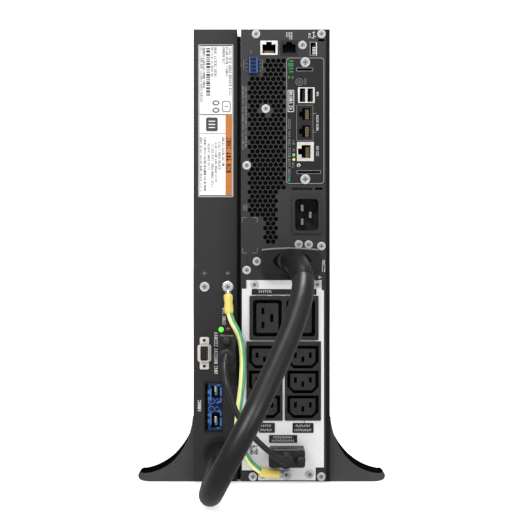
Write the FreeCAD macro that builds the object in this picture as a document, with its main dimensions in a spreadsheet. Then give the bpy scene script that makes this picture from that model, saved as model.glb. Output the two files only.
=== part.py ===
"""Two-unit tower UPS with its external battery pack, wired at the rear.

Row frame: millimetres, +X right seen from the rear, +Y from the rear connectors to the front bezels, +Z up.
The origin is the centre of the floor footprint. "reach" is a distance out of the rear panels, toward -Y.
"""
import FreeCAD, Part
import math
import os
import re

import Sketcher
from FreeCAD import Placement, Rotation, Vector

doc = FreeCAD.newDocument("TowerUps")
sheet = doc.addObject("Spreadsheet::Sheet", "Dims")

# ----------------------------------------------------------------------------- driving dimensions
DIMENSIONS = {
    # whole object
    "ups_width": 85, "pack_width": 41.7, "stack_gap": 3.6, "chassis_height": 432, "chassis_depth": 560,
    "base_plate": 2, "bezel_depth": 38, "rear_reach": 6, "sheet_gauge": 1.2, "cover_flange": 3.7,
    "pack_flange": 2.6, "clearance": 0.4,
    # perforated vent
    "vent_pitch": 4.99, "vent_hole": 4.2, "vent_left": -14.4, "vent_right": 23.7, "vent_low": 228.2,
    "vent_high": 406.6, "vent_step_low": 254.2, "vent_step_mid": 280.1, "vent_step_high": 389.4,
    "vent_low_left": 0.7, "vent_low_right": 16.4, "vent_high_left": 0.7, "vent_margin": 0.6,
    # jacks at the top of the rear panel
    "shielded_x": 7, "serial_x": 26.2, "jack_z": 416.2, "jack_width": 16.4, "jack_height": 13.6,
    "jack_mouth": 12.6, "jack_mouth_height": 8.4, "jack_depth": 16, "usb_x": 49.2, "usb_z": 415.3,
    "usb_width": 6.4, "usb_height": 13.4, "usb_wall": 0.7, "usb_tongue": 2,
    "epo_x": -7.9, "epo_z": 399.2, "epo_width": 8.2, "epo_height": 15.5, "epo_pitch": 3.5, "epo_slot": 2.5,
    # network card
    "card_x": 41.6, "card_z": 346.4, "card_width": 36.8, "card_height": 121, "card_corner": 4,
    "bay_width": 34.4, "bay_height": 118.6, "bay_depth": 132, "bay_wall": 0.8, "board_gauge": 1.6,
    "board_x": 31.8, "board_depth": 118, "rail_depth": 80, "card_usb_x": 42.6, "card_usb_z": 370.8,
    "card_usb_width": 15.8, "card_usb_height": 14.8, "data_jack_x": 41.15, "data_jack_z": 344.5,
    "data_jack_width": 14.8, "data_jack_height": 16.5, "net_jack_x": 41.7, "net_jack_z": 317,
    "net_jack_width": 16, "net_jack_height": 18.2, "reset_x": 35.9, "reset_z": 383.4, "reset_radius": 1.9,
    "card_led_x": 30.7, "card_led_radius": 1.5, "card_screw_high": 403.4, "card_screw_low": 289.3,
    # mains inlet and outlets
    "inlet_x": 43, "inlet_z": 256.7, "inlet_width": 28, "inlet_height": 36, "inlet_mouth": 22.4,
    "inlet_mouth_height": 30.2, "inlet_depth": 32, "inlet_reach": 2.4,
    "outlet_panel_gauge": 0.8, "block_reach": 2.4, "block_depth": 30, "groove_depth": 17,
    "big_block_x": 21.3, "big_block_z": 158.1, "big_block_width": 66, "big_block_height": 42.4,
    "big_outlet_left": 5.45, "big_outlet_pitch": 31.8, "big_mouth": 27.5, "big_mouth_height": 35,
    "big_island": 20.8, "big_island_height": 28.2,
    "small_block_left": 2.7, "small_block_pitch": 36.6, "small_block_z": 98, "small_block_width": 34.6,
    "small_block_height": 75.6, "small_outlet_top": 120.9, "small_outlet_pitch": 23.75,
    "small_mouth": 30.1, "small_mouth_height": 21.8, "small_island": 23.8, "small_island_height": 15.7,
    "small_chamfer": 6.2, "block_corner": 1.6, "big_block_corner": 3.6, "big_mouth_corner": 3,
    "big_island_corner": 2, "contact_setback": 8, "inlet_corner": 3.6,
    # pack rear
    "data_port_x": -54.7, "data_port_z": 124.5, "dc_socket_x": -46.3, "dc_socket_z": 73.2,
    "dc_socket_width": 17.8, "dc_socket_height": 48.8, "dc_insert_width": 13.4, "dc_insert_height": 44.8,
    "grommet_x": -39.7, "grommet_z": 29, "grommet_radius": 15.6, "pack_led_radius": 2.6,
    "data_corner": 1.4, "pack_led_z": 147, "pack_led_green": -38.7, "pack_led_red": -31.8,
    # fasteners
    "screw_radius": 4.1, "screw_head": 2.2, "pack_screw_radius": 4.7,
    # inside the chassis
    "fan_size": 80, "fan_thickness": 25, "fan_bore": 38, "fan_tip": 36.4, "fan_hub": 17, "fan_y": 150,
    "fan_low_z": 190, "fan_high_z": 280, "blade_count": 7,
    "power_y": 196, "power_depth": 134, "battery_y": 345, "battery_depth": 195, "battery_low": 6.4,
    "battery_height": 420,
    # front
    "bezel_wall": 2.5, "bezel_corner": 5, "louvre_pitch": 9, "louvre_width": 60, "louvre_height": 4.5,
    "pack_louvre_width": 26, "display_z": 300, "display_radius": 33, "display_depth": 18,
    "screen_width": 42, "screen_height": 26, "button_radius": 3.4, "button_reach": 1.6,
    # stand
    "rear_foot_reach": 56.2, "rear_foot_height": 62, "rear_foot_depth": 126, "foot_setback": 10,
    "foot_tongue": 15, "front_foot_reach": 24, "front_foot_height": 34, "front_foot_depth": 60,
    "front_foot_y": 190,
    # cords
    "dc_cable_diameter": 20, "comm_cable_diameter": 5.4, "ground_wire_diameter": 6.2,
    "dc_plug_width": 54.4, "dc_plug_height": 23.4, "dc_plug_reach": 24, "dc_plug_corner": 3.5,
    "comm_plug_corner": 2.5, "dc_boss_radius": 10.4, "dc_collar_radius": 11.4, "dc_boss_reach": 34,
    "dc_plug_x": 26.8, "dc_plug_z": 212.6, "dc_boss_x": 28.6,
    "upper_plug_x": -33, "upper_plug_z": 126.2, "lower_plug_x": 23.6, "lower_plug_z": 27.4,
    "comm_plug_length": 34, "comm_plug_width": 16.6, "comm_plug_reach": 26, "comm_boss_radius": 6.6,
    "comm_boss_reach": 38,
}

for row, (alias, amount) in enumerate(DIMENSIONS.items(), start=1):
    sheet.set(f"A{row}", str(amount))
    sheet.setAlias(f"A{row}", alias)
doc.recompute()

# Shared places, as expressions of the sheet's cells.
PACK_LEFT = "(-(ups_width + pack_width + stack_gap) / 2)"
PACK_RIGHT = "((pack_width - ups_width - stack_gap) / 2)"
UPS_LEFT = "((pack_width + stack_gap - ups_width) / 2)"
UPS_RIGHT = "((ups_width + pack_width + stack_gap) / 2)"
UPS_CENTRE = "((pack_width + stack_gap) / 2)"
PACK_CENTRE = "(-(ups_width + stack_gap) / 2)"
REAR = "((rear_reach - chassis_depth - bezel_depth) / 2)"
FRONT = "((rear_reach + chassis_depth - bezel_depth) / 2)"
BOTTOM = "base_plate"
TOP = "(base_plate + chassis_height)"

ALIAS = re.compile(r"\b(" + "|".join(DIMENSIONS) + r")\b")
ALONG = {
    "X": Rotation(Vector(0, 0, 1), Vector(1, 0, 0)),
    "Y": Rotation(Vector(0, 0, 1), Vector(0, 1, 0)),
    "Z": Rotation(),
}
nodes = []


# ----------------------------------------------------------------------------- helpers
def bind(item, prop, expression):
    """Bind a property to an expression of sheet aliases."""
    item.setExpression(prop, ALIAS.sub(r"Dims.\1", str(expression)))


def cell(alias):
    """A cell's number, for shapes made with Part's own functions."""
    return float(sheet.get(alias))


def rear_y():
    return (cell("rear_reach") - cell("chassis_depth") - cell("bezel_depth")) / 2


def place(item, x, y, z):
    for axis, expression in zip("xyz", (x, y, z)):
        bind(item, "Placement.Base." + axis, expression)
    return item


def box(name, x, y, z, length, width, height):
    """A box from its least corner."""
    item = doc.addObject("Part::Box", name)
    for prop, expression in (("Length", length), ("Width", width), ("Height", height)):
        bind(item, prop, expression)
    return place(item, x, y, z)


def block(name, x, z, length, height, reach, depth):
    """A box centred on (x, z), from "reach" outside the rear panels to "depth" inside them."""
    return box(name, f"{x} - ({length}) / 2", f"{REAR} - ({reach})", f"{z} - ({height}) / 2",
               length, f"({reach}) + ({depth})", height)


def cylinder(name, x, y, z, radius, length, axis="Y"):
    item = doc.addObject("Part::Cylinder", name)
    item.Placement = Placement(Vector(), ALONG[axis])
    bind(item, "Radius", radius)
    bind(item, "Height", length)
    return place(item, x, y, z)


def fuse(name, pieces):
    item = doc.addObject("Part::MultiFuse", name)
    item.Shapes = pieces
    item.Refine = True
    return item


def together(name, pieces):
    """Separate solids in one node."""
    item = doc.addObject("Part::Compound", name)
    item.Links = pieces
    return item


def cut(name, base, tools):
    item = doc.addObject("Part::Cut", name)
    item.Base = base
    item.Tool = tools[0] if len(tools) == 1 else together(name + "_tools", tools)
    return item


def parallel_edges(shape, axis):
    """The numbers of a shape's straight edges along an axis."""
    found = []
    for index, edge in enumerate(shape.Edges, start=1):
        if len(edge.Vertexes) != 2 or edge.Curve.TypeId != "Part::GeomLine":
            continue
        if abs(edge.tangentAt(edge.FirstParameter).dot(axis)) > 0.999:
            found.append(index)
    return found


def rounded(name, base, alias, axis=Vector(0, 1, 0)):
    """Round the edges of a piece that run along an axis."""
    doc.recompute()
    item = doc.addObject("Part::Fillet", name)
    item.Base = base
    item.Edges = [(index, cell(alias), cell(alias)) for index in parallel_edges(base.Shape, axis)]
    return item


def outline(name, points, y, depth):
    """A prism along +Y from a closed outline in the XZ plane; every corner is bound to the sheet."""
    sketch = doc.addObject("Sketcher::SketchObject", name + "_outline")
    sketch.Placement = Placement(Vector(), Rotation(Vector(1, 0, 0), 90))
    count = len(points)
    guess = [Vector(10 * math.cos(2 * math.pi * i / count), 10 * math.sin(2 * math.pi * i / count), 0)
             for i in range(count)]
    for i in range(count):
        sketch.addGeometry(Part.LineSegment(guess[i], guess[(i + 1) % count]), False)
    for i in range(count):
        sketch.addConstraint(Sketcher.Constraint("Coincident", i, 2, (i + 1) % count, 1))
    for i, (x, z) in enumerate(points):
        for kind, expression in (("DistanceX", x), ("DistanceY", z)):
            index = sketch.addConstraint(Sketcher.Constraint(kind, -1, 1, i, 1, 1.0))
            bind(sketch, f"Constraints[{index}]", expression)
    bind(sketch, "Placement.Base.y", y)
    item = doc.addObject("Part::Extrusion", name)
    item.Base = sketch
    item.DirMode = "Custom"
    item.Dir = Vector(0, 1, 0)
    item.Solid = True
    bind(item, "LengthFwd", depth)
    return item


def made(name, shape):
    """A piece whose shape Part's own functions make from the sheet's numbers."""
    item = doc.addObject("Part::Feature", name)
    item.Shape = shape
    return item


def node(label, item):
    item.Label = label
    nodes.append(item)
    return item


# ----------------------------------------------------------------------------- UPS chassis
def ups_chassis():
    """A folded channel closed by a flat cover, with the rear panel between their edges."""
    depth = "chassis_depth - sheet_gauge"
    start = f"{REAR} + sheet_gauge"
    shell = box("ups_tray_shell", UPS_LEFT, start, BOTTOM, "ups_width - sheet_gauge", depth, "chassis_height")
    inside = box("ups_tray_inside", f"{UPS_LEFT} + sheet_gauge", f"{start} - 1", f"{BOTTOM} + sheet_gauge",
                 "ups_width", f"{depth} + 2", "chassis_height - 2 * sheet_gauge")
    holes = [
        cylinder(f"ups_ear_hole_{i}{j}", f"{UPS_CENTRE} + {side} * 20", f"{FRONT} - {inset}",
                 f"{BOTTOM} - 1", 2.2, f"chassis_height + 2", "Z")
        for i, side in enumerate((-1, 1)) for j, inset in enumerate((14, 39))
    ]
    node("ups_tray", cut("ups_tray_body", shell, [inside] + holes))

    plate = box("ups_cover_plate", f"{UPS_RIGHT} - sheet_gauge", REAR, BOTTOM, "sheet_gauge",
                "chassis_depth", "chassis_height")
    flange = box("ups_cover_flange", f"{UPS_RIGHT} - cover_flange", REAR, BOTTOM,
                 "cover_flange - sheet_gauge", "sheet_gauge", "chassis_height")
    node("ups_cover", fuse("ups_cover_body", [plate, flange]))


VENT_OUTLINE = [
    ("vent_low_left", "vent_low"), ("vent_low_right", "vent_low"), ("vent_low_right", "vent_step_mid"),
    ("vent_right", "vent_step_mid"), ("vent_right", "vent_high"), ("vent_high_left", "vent_high"),
    ("vent_high_left", "vent_step_high"), ("vent_left", "vent_step_high"), ("vent_left", "vent_step_low"),
    ("vent_low_left", "vent_step_low"),
]


# Unpierced spots under screws in the vent: x, z, radius.
VENT_ISLANDS = [(3.9, 358, 6.4), (-14.3, 303.9, 5.6)]


def rear_panel():
    plate = box("rear_panel_plate", UPS_LEFT, REAR, BOTTOM, "ups_width - cover_flange", "sheet_gauge",
                "chassis_height")
    through = ("1", "sheet_gauge + 1")
    openings = [
        outline("rear_vent_window", VENT_OUTLINE, f"{REAR} - 1", "sheet_gauge + 2"),
        block("rear_cut_shielded", "shielded_x", "jack_z", "jack_width", "jack_height", *through),
        block("rear_cut_serial", "serial_x", "jack_z", "jack_width", "jack_height", *through),
        block("rear_cut_usb", "usb_x", "usb_z", "usb_width", "usb_height", *through),
        block("rear_cut_epo", "epo_x", "epo_z", "epo_width + 2 * clearance",
              "epo_height + 2 * clearance", *through),
        block("rear_cut_card", "card_x", "card_z", "bay_width", "bay_height", *through),
        block("rear_cut_inlet", "inlet_x", "inlet_z", "inlet_width - 3", "inlet_height - 3", *through),
        block("rear_cut_big", "big_block_x", "big_block_z", "big_block_width", "big_block_height", *through),
    ]
    for i in range(2):
        openings.append(block(f"rear_cut_small_{i}", f"small_block_left + {i} * small_block_pitch",
                              "small_block_z", "small_block_width", "small_block_height", *through))
    for i, (x, z, length) in enumerate(((38.4, 281.6, 20), (54.6, 281.6, 7), (57.1, 423.6, 6))):
        openings.append(block(f"rear_cut_slot_{i}", x, z, length, 2.2, *through))
    node("ups_rear_panel", cut("rear_panel_body", plate, openings))


def hexagon(x, y, z, flats):
    corners = []
    for i in range(7):
        angle = math.radians(60 * i + 30)
        corners.append(Vector(x + flats / math.sqrt(3) * math.cos(angle), y,
                              z + flats / math.sqrt(3) * math.sin(angle)))
    return Part.makePolygon(corners)


def vent_grille():
    """The perforated zone of the rear panel: rows of hexagonal holes inside its stepped outline."""
    y = rear_y()
    corners = [Vector(cell(x), y, cell(z)) for x, z in VENT_OUTLINE]
    edge = Part.makePolygon(corners + corners[:1])
    sheet_face = Part.Face(edge)
    pitch = cell("vent_pitch")
    row_pitch = pitch * math.sqrt(3) / 2
    margin = cell("vent_hole") / 2 + cell("vent_margin")
    rounding = 0.01
    holes = []
    for row in range(int((cell("vent_high") - cell("vent_low")) / row_pitch) + 1):
        z = cell("vent_high") - margin - row * row_pitch
        for column in range(9):
            x = cell("vent_right") - margin - (column + 0.5 * (row % 2)) * pitch
            centre = Vector(x, y, z)
            if any(math.hypot(x - screw_x, z - screw_z) < radius for screw_x, screw_z, radius in VENT_ISLANDS):
                continue
            if not sheet_face.isInside(centre, rounding, True):
                continue
            if edge.distToShape(Part.Vertex(centre))[0] < margin - rounding:
                continue
            holes.append(hexagon(x, y, z, cell("vent_hole")))
    face = Part.makeFace([edge] + holes, "Part::FaceMakerBullseye")
    node("vent_grille", made("vent_grille_body", face.extrude(Vector(0, cell("sheet_gauge"), 0))))


# ----------------------------------------------------------------------------- jacks and plugs
def jack_cavity(name, x, z, mouth, mouth_height, latch_width, latch_height, depth, latch_side):
    """The mouth of a modular jack with its latch notch on one side: "up" or "left"."""
    mouth_box = block(name + "_mouth", x, z, mouth, mouth_height, 4, depth)
    if latch_side == "up":
        notch = block(name + "_notch", x, f"{z} + ({mouth_height}) / 2 + ({latch_height}) / 2 - 0.1",
                      latch_width, f"({latch_height}) + 0.2", 4, depth)
    else:
        notch = block(name + "_notch", f"{x} - ({mouth}) / 2 - ({latch_width}) / 2 + 0.1", z,
                      f"({latch_width}) + 0.2", latch_height, 4, depth)
    return fuse(name, [mouth_box, notch])


def panel_jacks():
    for label, x in (("shielded_jack", "shielded_x"), ("serial_jack", "serial_x")):
        body = block(label + "_housing", x, "jack_z", "jack_width", "jack_height", 0.8, "jack_depth + 2")
        cavity = jack_cavity(label + "_cavity", x, "jack_z - 0.9", "jack_mouth", "jack_mouth_height",
                             "5.4", "2.4", "jack_depth", "up")
        node(label, cut(label + "_body", body, [cavity]))

    shell = block("usb_shell", "usb_x", "usb_z", "usb_width", "usb_height", 0.6, 14)
    inside = block("usb_inside", "usb_x", "usb_z", "usb_width - 2 * usb_wall", "usb_height - 2 * usb_wall",
                   2, 12)
    tongue = block("usb_tongue_bar", "usb_x + 0.9", "usb_z", "usb_tongue", "usb_height - 3", -1.5, 12.5)
    node("usb_port", fuse("usb_port_body", [cut("usb_port_shell", shell, [inside]), tongue]))


def emergency_off_plug():
    body = block("epo_block", "epo_x", "epo_z", "epo_width", "epo_height", "rear_reach - 0.6", 11)
    slots = []
    for i in range(4):
        z = f"epo_z + ({i} - 1.5) * epo_pitch"
        slots.append(block(f"epo_slot_{i}", "epo_x", z, "epo_width - 3.2", "epo_slot", "rear_reach + 1", 1))
    node("epo_plug", cut("epo_plug_body", body, slots))


# ----------------------------------------------------------------------------- network card
def card_bay():
    wall = "bay_wall"
    shell = block("bay_shell", "card_x", "card_z", f"bay_width + 2 * {wall}", f"bay_height + 2 * {wall}",
                  "-sheet_gauge", "bay_depth")
    inside = block("bay_inside", "card_x", "card_z", "bay_width", "bay_height", "0", "bay_depth - bay_wall")
    duct = cut("bay_duct", shell, [inside])
    rails = []
    start = f"{REAR} + bay_depth - bay_wall - rail_depth"
    for i, z in enumerate(("card_z - bay_height / 2", "card_z + bay_height / 2 - 4")):
        for j, x in enumerate(("board_x - clearance - 1.5", "board_x + board_gauge + clearance")):
            rails.append(box(f"bay_rail_{i}{j}", x, start, z, 1.5, "rail_depth", 4))
    node("card_bay", fuse("card_bay_body", [duct] + rails))


def network_card():
    """The card pulls out to the rear as one piece; everything on it stands off its board."""
    plate = rounded("card_plate_round",
                    block("card_plate", "card_x", "card_z", "card_width", "card_height", 1.5, "-0.3"),
                    "card_corner")
    through = ("3", "1")
    openings = [
        block("card_cut_usb", "card_usb_x", "card_usb_z", "card_usb_width", "card_usb_height", *through),
        block("card_cut_data", "data_jack_x", "data_jack_z", "data_jack_width", "2 * data_jack_height",
              *through),
        block("card_cut_net", "net_jack_x", "net_jack_z", "net_jack_width", "net_jack_height", *through),
        block("card_cut_slot_high", 41, 395.4, 14.5, 2, *through),
        block("card_cut_slot_low", 45, 297.4, 21.5, 2, *through),
        cylinder("card_cut_reset", "reset_x", f"{REAR} - 3", "reset_z", "reset_radius + clearance", 4),
    ]
    for i, z in enumerate((324.2, 318.4, 313.7, 309.4)):
        openings.append(cylinder(f"card_cut_led_{i}", "card_led_x", f"{REAR} - 3", z, "card_led_radius", 4))
    node("card_faceplate", cut("card_faceplate_body", plate, openings))

    board = block("card_board_plate", "board_x + board_gauge / 2", "card_z", "board_gauge",
                  "bay_height - 2 * clearance - 0.8", "-1", "board_depth")
    chips = [
        box("card_chip_main", "board_x + board_gauge", f"{REAR} + 45", "card_z - 14", 2.6, 28, 28),
        box("card_chip_memory", "board_x + board_gauge", f"{REAR} + 84", "card_z + 12", 1.6, 18, 12),
        box("card_chip_flash", "board_x + board_gauge", f"{REAR} + 84", "card_z - 24", 1.6, 14, 14),
    ]
    node("card_board", fuse("card_board_body", [board] + chips))

    shell = block("card_usb_shell", "card_usb_x", "card_usb_z", "card_usb_width", "card_usb_height", 2.2, 16)
    mouths = []
    tongues = []
    for i, side in enumerate((-1, 1)):
        x = f"card_usb_x + {side} * 3.7"
        mouths.append(block(f"card_usb_mouth_{i}", x, "card_usb_z", "5.2", "card_usb_height - 1.8", 4, 14))
        tongues.append(block(f"card_usb_tongue_{i}", f"{x} + 1.1", "card_usb_z", "1.8",
                             "card_usb_height - 4", -0.5, 14.5))
    ports = cut("card_usb_body", shell, mouths)
    node("card_usb_ports", fuse("card_usb_all", [ports] + tongues))

    jacks = []
    for i, side in enumerate((1, -1)):
        z = f"data_jack_z + {side} * data_jack_height / 2"
        housing = block(f"data_jack_{i}", "data_jack_x", z, "data_jack_width", "data_jack_height", 1.9, 20)
        cavity = jack_cavity(f"data_jack_{i}_cavity", "data_jack_x + 1.3", z, "7.6", "11.4", "3", "5.2", 16,
                             "left")
        jacks.append(cut(f"data_jack_{i}_body", housing, [cavity]))
    node("card_data_jacks", together("card_data_jacks_pair", jacks))

    housing = block("net_jack", "net_jack_x", "net_jack_z", "net_jack_width", "net_jack_height", 2.4, 21)
    cavity = jack_cavity("net_jack_cavity", "net_jack_x + 0.6", "net_jack_z", "8.6", "12.4", "3.4", "5.8", 16,
                         "left")
    node("card_network_jack", cut("net_jack_body", housing, [cavity]))

    lamps = [cylinder(f"card_led_{i}", "card_led_x", f"{REAR} - 1.9", z, "card_led_radius", 1.6)
             for i, z in enumerate((324.2, 318.4, 313.7, 309.4))]
    node("card_leds", together("card_leds_all", lamps))

    node("card_reset_button", cylinder("card_reset_pin", "reset_x", f"{REAR} - 1.4", "reset_z",
                                       "reset_radius", 6))


# ----------------------------------------------------------------------------- outlets and inlet
def big_groove(name, x, z):
    """The rounded groove round a large outlet's island."""
    outer = rounded(name + "_mouth", block(name + "_mouth_block", x, z, "big_mouth", "big_mouth_height", 6,
                                           "groove_depth"), "big_mouth_corner")
    core = rounded(name + "_island", block(name + "_island_block", x, z, "big_island", "big_island_height",
                                           "block_reach - 1.2", "groove_depth + 6"), "big_island_corner")
    return cut(name, outer, [core])


def small_groove(name, x, z):
    """The groove round a small outlet's island; the lower corners of the mouth are cut off."""
    mouth, mouth_height, chamfer = "small_mouth", "small_mouth_height", "small_chamfer"
    island, island_height = "small_island", "small_island_height"
    outer = outline(name + "_mouth", [
        (f"{x} - ({mouth}) / 2 + ({chamfer})", f"{z} - ({mouth_height}) / 2"),
        (f"{x} + ({mouth}) / 2 - ({chamfer})", f"{z} - ({mouth_height}) / 2"),
        (f"{x} + ({mouth}) / 2", f"{z} - ({mouth_height}) / 2 + ({chamfer})"),
        (f"{x} + ({mouth}) / 2", f"{z} + ({mouth_height}) / 2"),
        (f"{x} - ({mouth}) / 2", f"{z} + ({mouth_height}) / 2"),
        (f"{x} - ({mouth}) / 2", f"{z} - ({mouth_height}) / 2 + ({chamfer})"),
    ], f"{REAR} - 6", "6 + groove_depth")
    core = outline(name + "_island", [
        (f"{x} - ({island}) / 2 + ({chamfer}) * 0.55", f"{z} - ({island_height}) / 2"),
        (f"{x} + ({island}) / 2 - ({chamfer}) * 0.55", f"{z} - ({island_height}) / 2"),
        (f"{x} + ({island}) / 2", f"{z} - ({island_height}) / 2 + ({chamfer}) * 0.55"),
        (f"{x} + ({island}) / 2", f"{z} + ({island_height}) / 2"),
        (f"{x} - ({island}) / 2", f"{z} + ({island_height}) / 2"),
        (f"{x} - ({island}) / 2", f"{z} - ({island_height}) / 2 + ({chamfer}) * 0.55"),
    ], f"{REAR} - block_reach + 1.2", "groove_depth + 8")
    return cut(name, outer, [core])


OUTLET_PLATE = [
    (-3.3, 3.2), (51.5, 3.2), (51.5, 15.4), (59.4, 15.4), (59.4, 184.6), (57.2, 184.6), (57.2, 194.2),
    (-14.7, 194.2), (-14.7, 186), (-18.8, 186), (-18.8, 12.7), (-3.3, 12.7),
]
BIG_SLOTS = [(-4.25, 6.6, 2.9, 6.2), (4.15, 0, 3.3, 7.6), (-4.25, -6.6, 2.9, 6.2)]
SMALL_SLOTS = [(-7.1, 1.7, 2.8, 5.2), (0, -2.2, 2.8, 5.2), (7.1, 1.7, 2.8, 5.2)]


def outlet(name, x, z, groove, slots):
    """What is cut from a block for one outlet, and the contacts that lie deep in its slots."""
    tools = [groove(name + "_groove", x, z)]
    contacts = []
    for i, (dx, dz, width, height) in enumerate(slots):
        spot = (f"{x} + {dx}", f"{z} + {dz}")
        tools.append(block(f"{name}_slot_{i}", *spot, width, height, "block_reach + 1", "groove_depth"))
        contacts.append(block(f"{name}_contact_{i}", *spot, width - 1.2, height - 0.8, "-contact_setback",
                              "groove_depth"))
    return tools, contacts


def outlets():
    plate = outline("outlet_plate", OUTLET_PLATE, f"{REAR} - outlet_panel_gauge", "outlet_panel_gauge")
    through = ("3", "1")
    windows = [block("plate_cut_big", "big_block_x", "big_block_z", "big_block_width", "big_block_height",
                     *through)]
    big = rounded("big_block_round",
                  block("big_block", "big_block_x", "big_block_z", "big_block_width", "big_block_height",
                        "block_reach", "block_depth"), "big_block_corner")
    big_tools = []
    contacts = []
    for i in range(2):
        tools, metal = outlet(f"big_outlet_{i}", f"big_outlet_left + {i} * big_outlet_pitch", "big_block_z",
                              big_groove, BIG_SLOTS)
        big_tools += tools
        contacts += metal
    node("c19_outlet_block", cut("big_block_body", big, big_tools))

    small_blocks = []
    for i in range(2):
        x = f"small_block_left + {i} * small_block_pitch"
        windows.append(block(f"plate_cut_small_{i}", x, "small_block_z", "small_block_width",
                             "small_block_height", *through))
        base = rounded(f"small_block_{i}_round",
                       block(f"small_block_{i}", x, "small_block_z", "small_block_width",
                             "small_block_height", "block_reach", "block_depth"), "block_corner")
        small_tools = []
        for j in range(3):
            tools, metal = outlet(f"small_outlet_{i}{j}", x, f"small_outlet_top - {j} * small_outlet_pitch",
                                  small_groove, SMALL_SLOTS)
            small_tools += tools
            contacts += metal
        small_blocks.append(cut(f"small_block_{i}_body", base, small_tools))
    node("c13_outlet_blocks", together("small_blocks_pair", small_blocks))
    node("outlet_panel", cut("outlet_panel_body", plate, windows))

    for i, (dx, dz) in enumerate(((-4.2, 6.6), (3.5, 0), (-4.2, -6.6))):
        contacts.append(block(f"inlet_pin_{i}", f"inlet_x + {dx}", f"inlet_z + {dz}", 2.2, 5.8, "-3",
                              "inlet_depth - 4"))
    for i, side in enumerate((-1, 1)):
        contacts.append(block(f"dc_blade_{i}", "dc_socket_x + 2.6", f"dc_socket_z + {side} * 14.4", 2.6, 7.5,
                              -5, 20))
    node("power_contacts", together("power_contacts_all", contacts))


def mains_inlet():
    frame = rounded("inlet_frame_round",
                    block("inlet_frame", "inlet_x", "inlet_z", "inlet_width", "inlet_height", "inlet_reach",
                          "0"), "block_corner")
    body = block("inlet_body", "inlet_x", "inlet_z", "inlet_width - 3", "inlet_height - 3", "0", "inlet_depth")
    mouth = rounded("inlet_mouth_round", block("inlet_mouth_block", "inlet_x", "inlet_z", "inlet_mouth",
                                               "inlet_mouth_height", 6, "inlet_depth - 4"), "inlet_corner")
    node("c20_inlet", cut("inlet_shell", fuse("inlet_solid", [frame, body]), [mouth]))


# ----------------------------------------------------------------------------- inside the UPS
def fans():
    frames = []
    thickness = cell("fan_thickness")
    near = rear_y() + cell("fan_y")
    centre_x = (cell("pack_width") + cell("stack_gap")) / 2
    for label, level in (("lower", "fan_low_z"), ("upper", "fan_high_z")):
        plate = block(f"fan_{label}_plate", UPS_CENTRE, level, "fan_size", "fan_size", "-fan_y",
                      "fan_y + fan_thickness")
        bore = cylinder(f"fan_{label}_bore", UPS_CENTRE, f"{REAR} + fan_y - 1", level, "fan_bore",
                        "fan_thickness + 2")
        ring = cut(f"fan_{label}_ring", plate, [bore])
        hub = cylinder(f"fan_{label}_motor", UPS_CENTRE, f"{REAR} + fan_y + fan_thickness - 4", level,
                       "fan_hub - 2", 4)
        arms = []
        for i in range(2):
            length, height = (("2 * fan_bore + 2", 4), (4, "2 * fan_bore + 2"))[i]
            arms.append(block(f"fan_{label}_arm_{i}", UPS_CENTRE, level, length, height,
                              "-(fan_y + fan_thickness - 3)", "fan_y + fan_thickness"))
        frames.append(fuse(f"fan_{label}_frame", [ring, hub] + arms))

        centre = Vector(centre_x, near, cell(level))
        hub_shape = Part.makeCylinder(cell("fan_hub"), thickness - 8, centre + Vector(0, 2, 0), Vector(0, 1, 0))
        reach = Part.makeCylinder(cell("fan_tip"), thickness - 8, centre + Vector(0, 2, 0), Vector(0, 1, 0))
        blades = []
        for i in range(int(cell("blade_count"))):
            blade = Part.makeBox(cell("fan_tip"), 30, 1.4, Vector(cell("fan_hub") - 3, -15, -0.7))
            blade.rotate(Vector(), Vector(1, 0, 0), 38)
            blade.rotate(Vector(), Vector(0, 1, 0), 360 * i / cell("blade_count"))
            blade.translate(centre + Vector(0, 2 + (thickness - 8) / 2, 0))
            blades.append(blade.common(reach))
        node(f"fan_rotor_{label}", made(f"fan_rotor_{label}_body", hub_shape.fuse(blades).removeSplitter()))
    node("fan_frames", together("fan_frames_pair", frames))


def power_stage():
    wall = f"{UPS_LEFT} + sheet_gauge"
    start = f"{REAR} + power_y"
    board = box("power_board_plate", f"{wall} + 5", start, f"{BOTTOM} + 16", 2, "power_depth",
                "chassis_height - 32")
    posts = [cylinder(f"power_post_{i}{j}", wall, f"{start} + {dy}", f"{BOTTOM} + {dz}", 3.5, 5, "X")
             for i, dy in enumerate((8, 126)) for j, dz in enumerate((26, 216, 406))]
    node("power_board", fuse("power_board_body", [board] + posts))
    face = f"{wall} + 7"

    sinks = []
    for i, dz in enumerate((30, 290)):
        base = box(f"sink_{i}_base", face, f"{start} + 10", f"{BOTTOM} + {dz}", 4, 110, 100)
        fins = [box(f"sink_{i}_fin_{j}", f"{face} + 3.5", f"{start} + 10", f"{BOTTOM} + {dz} + {j} * 9.7", 34,
                    110, 2.4) for j in range(11)]
        sinks.append(fuse(f"sink_{i}", [base] + fins))
    node("heatsinks", together("heatsinks_pair", sinks))

    wound = []
    for i, dz in enumerate((140, 204)):
        core = box(f"choke_{i}_core", face, f"{start} + 14", f"{BOTTOM} + {dz}", 44, 54, 50)
        coil = box(f"choke_{i}_coil", f"{face} + 6", f"{start} + 8", f"{BOTTOM} + {dz} + 10", 32, 66, 30)
        wound.append(fuse(f"choke_{i}", [core, coil]))
    node("power_magnetics", together("power_magnetics_pair", wound))

    cans = [cylinder(f"can_{i}{j}", face, f"{start} + {92 + 26 * j}", f"{BOTTOM} + {154 + 32 * i}", 11, 46, "X")
            for i in range(4) for j in range(2)]
    node("capacitors", together("capacitors_all", cans))


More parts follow.
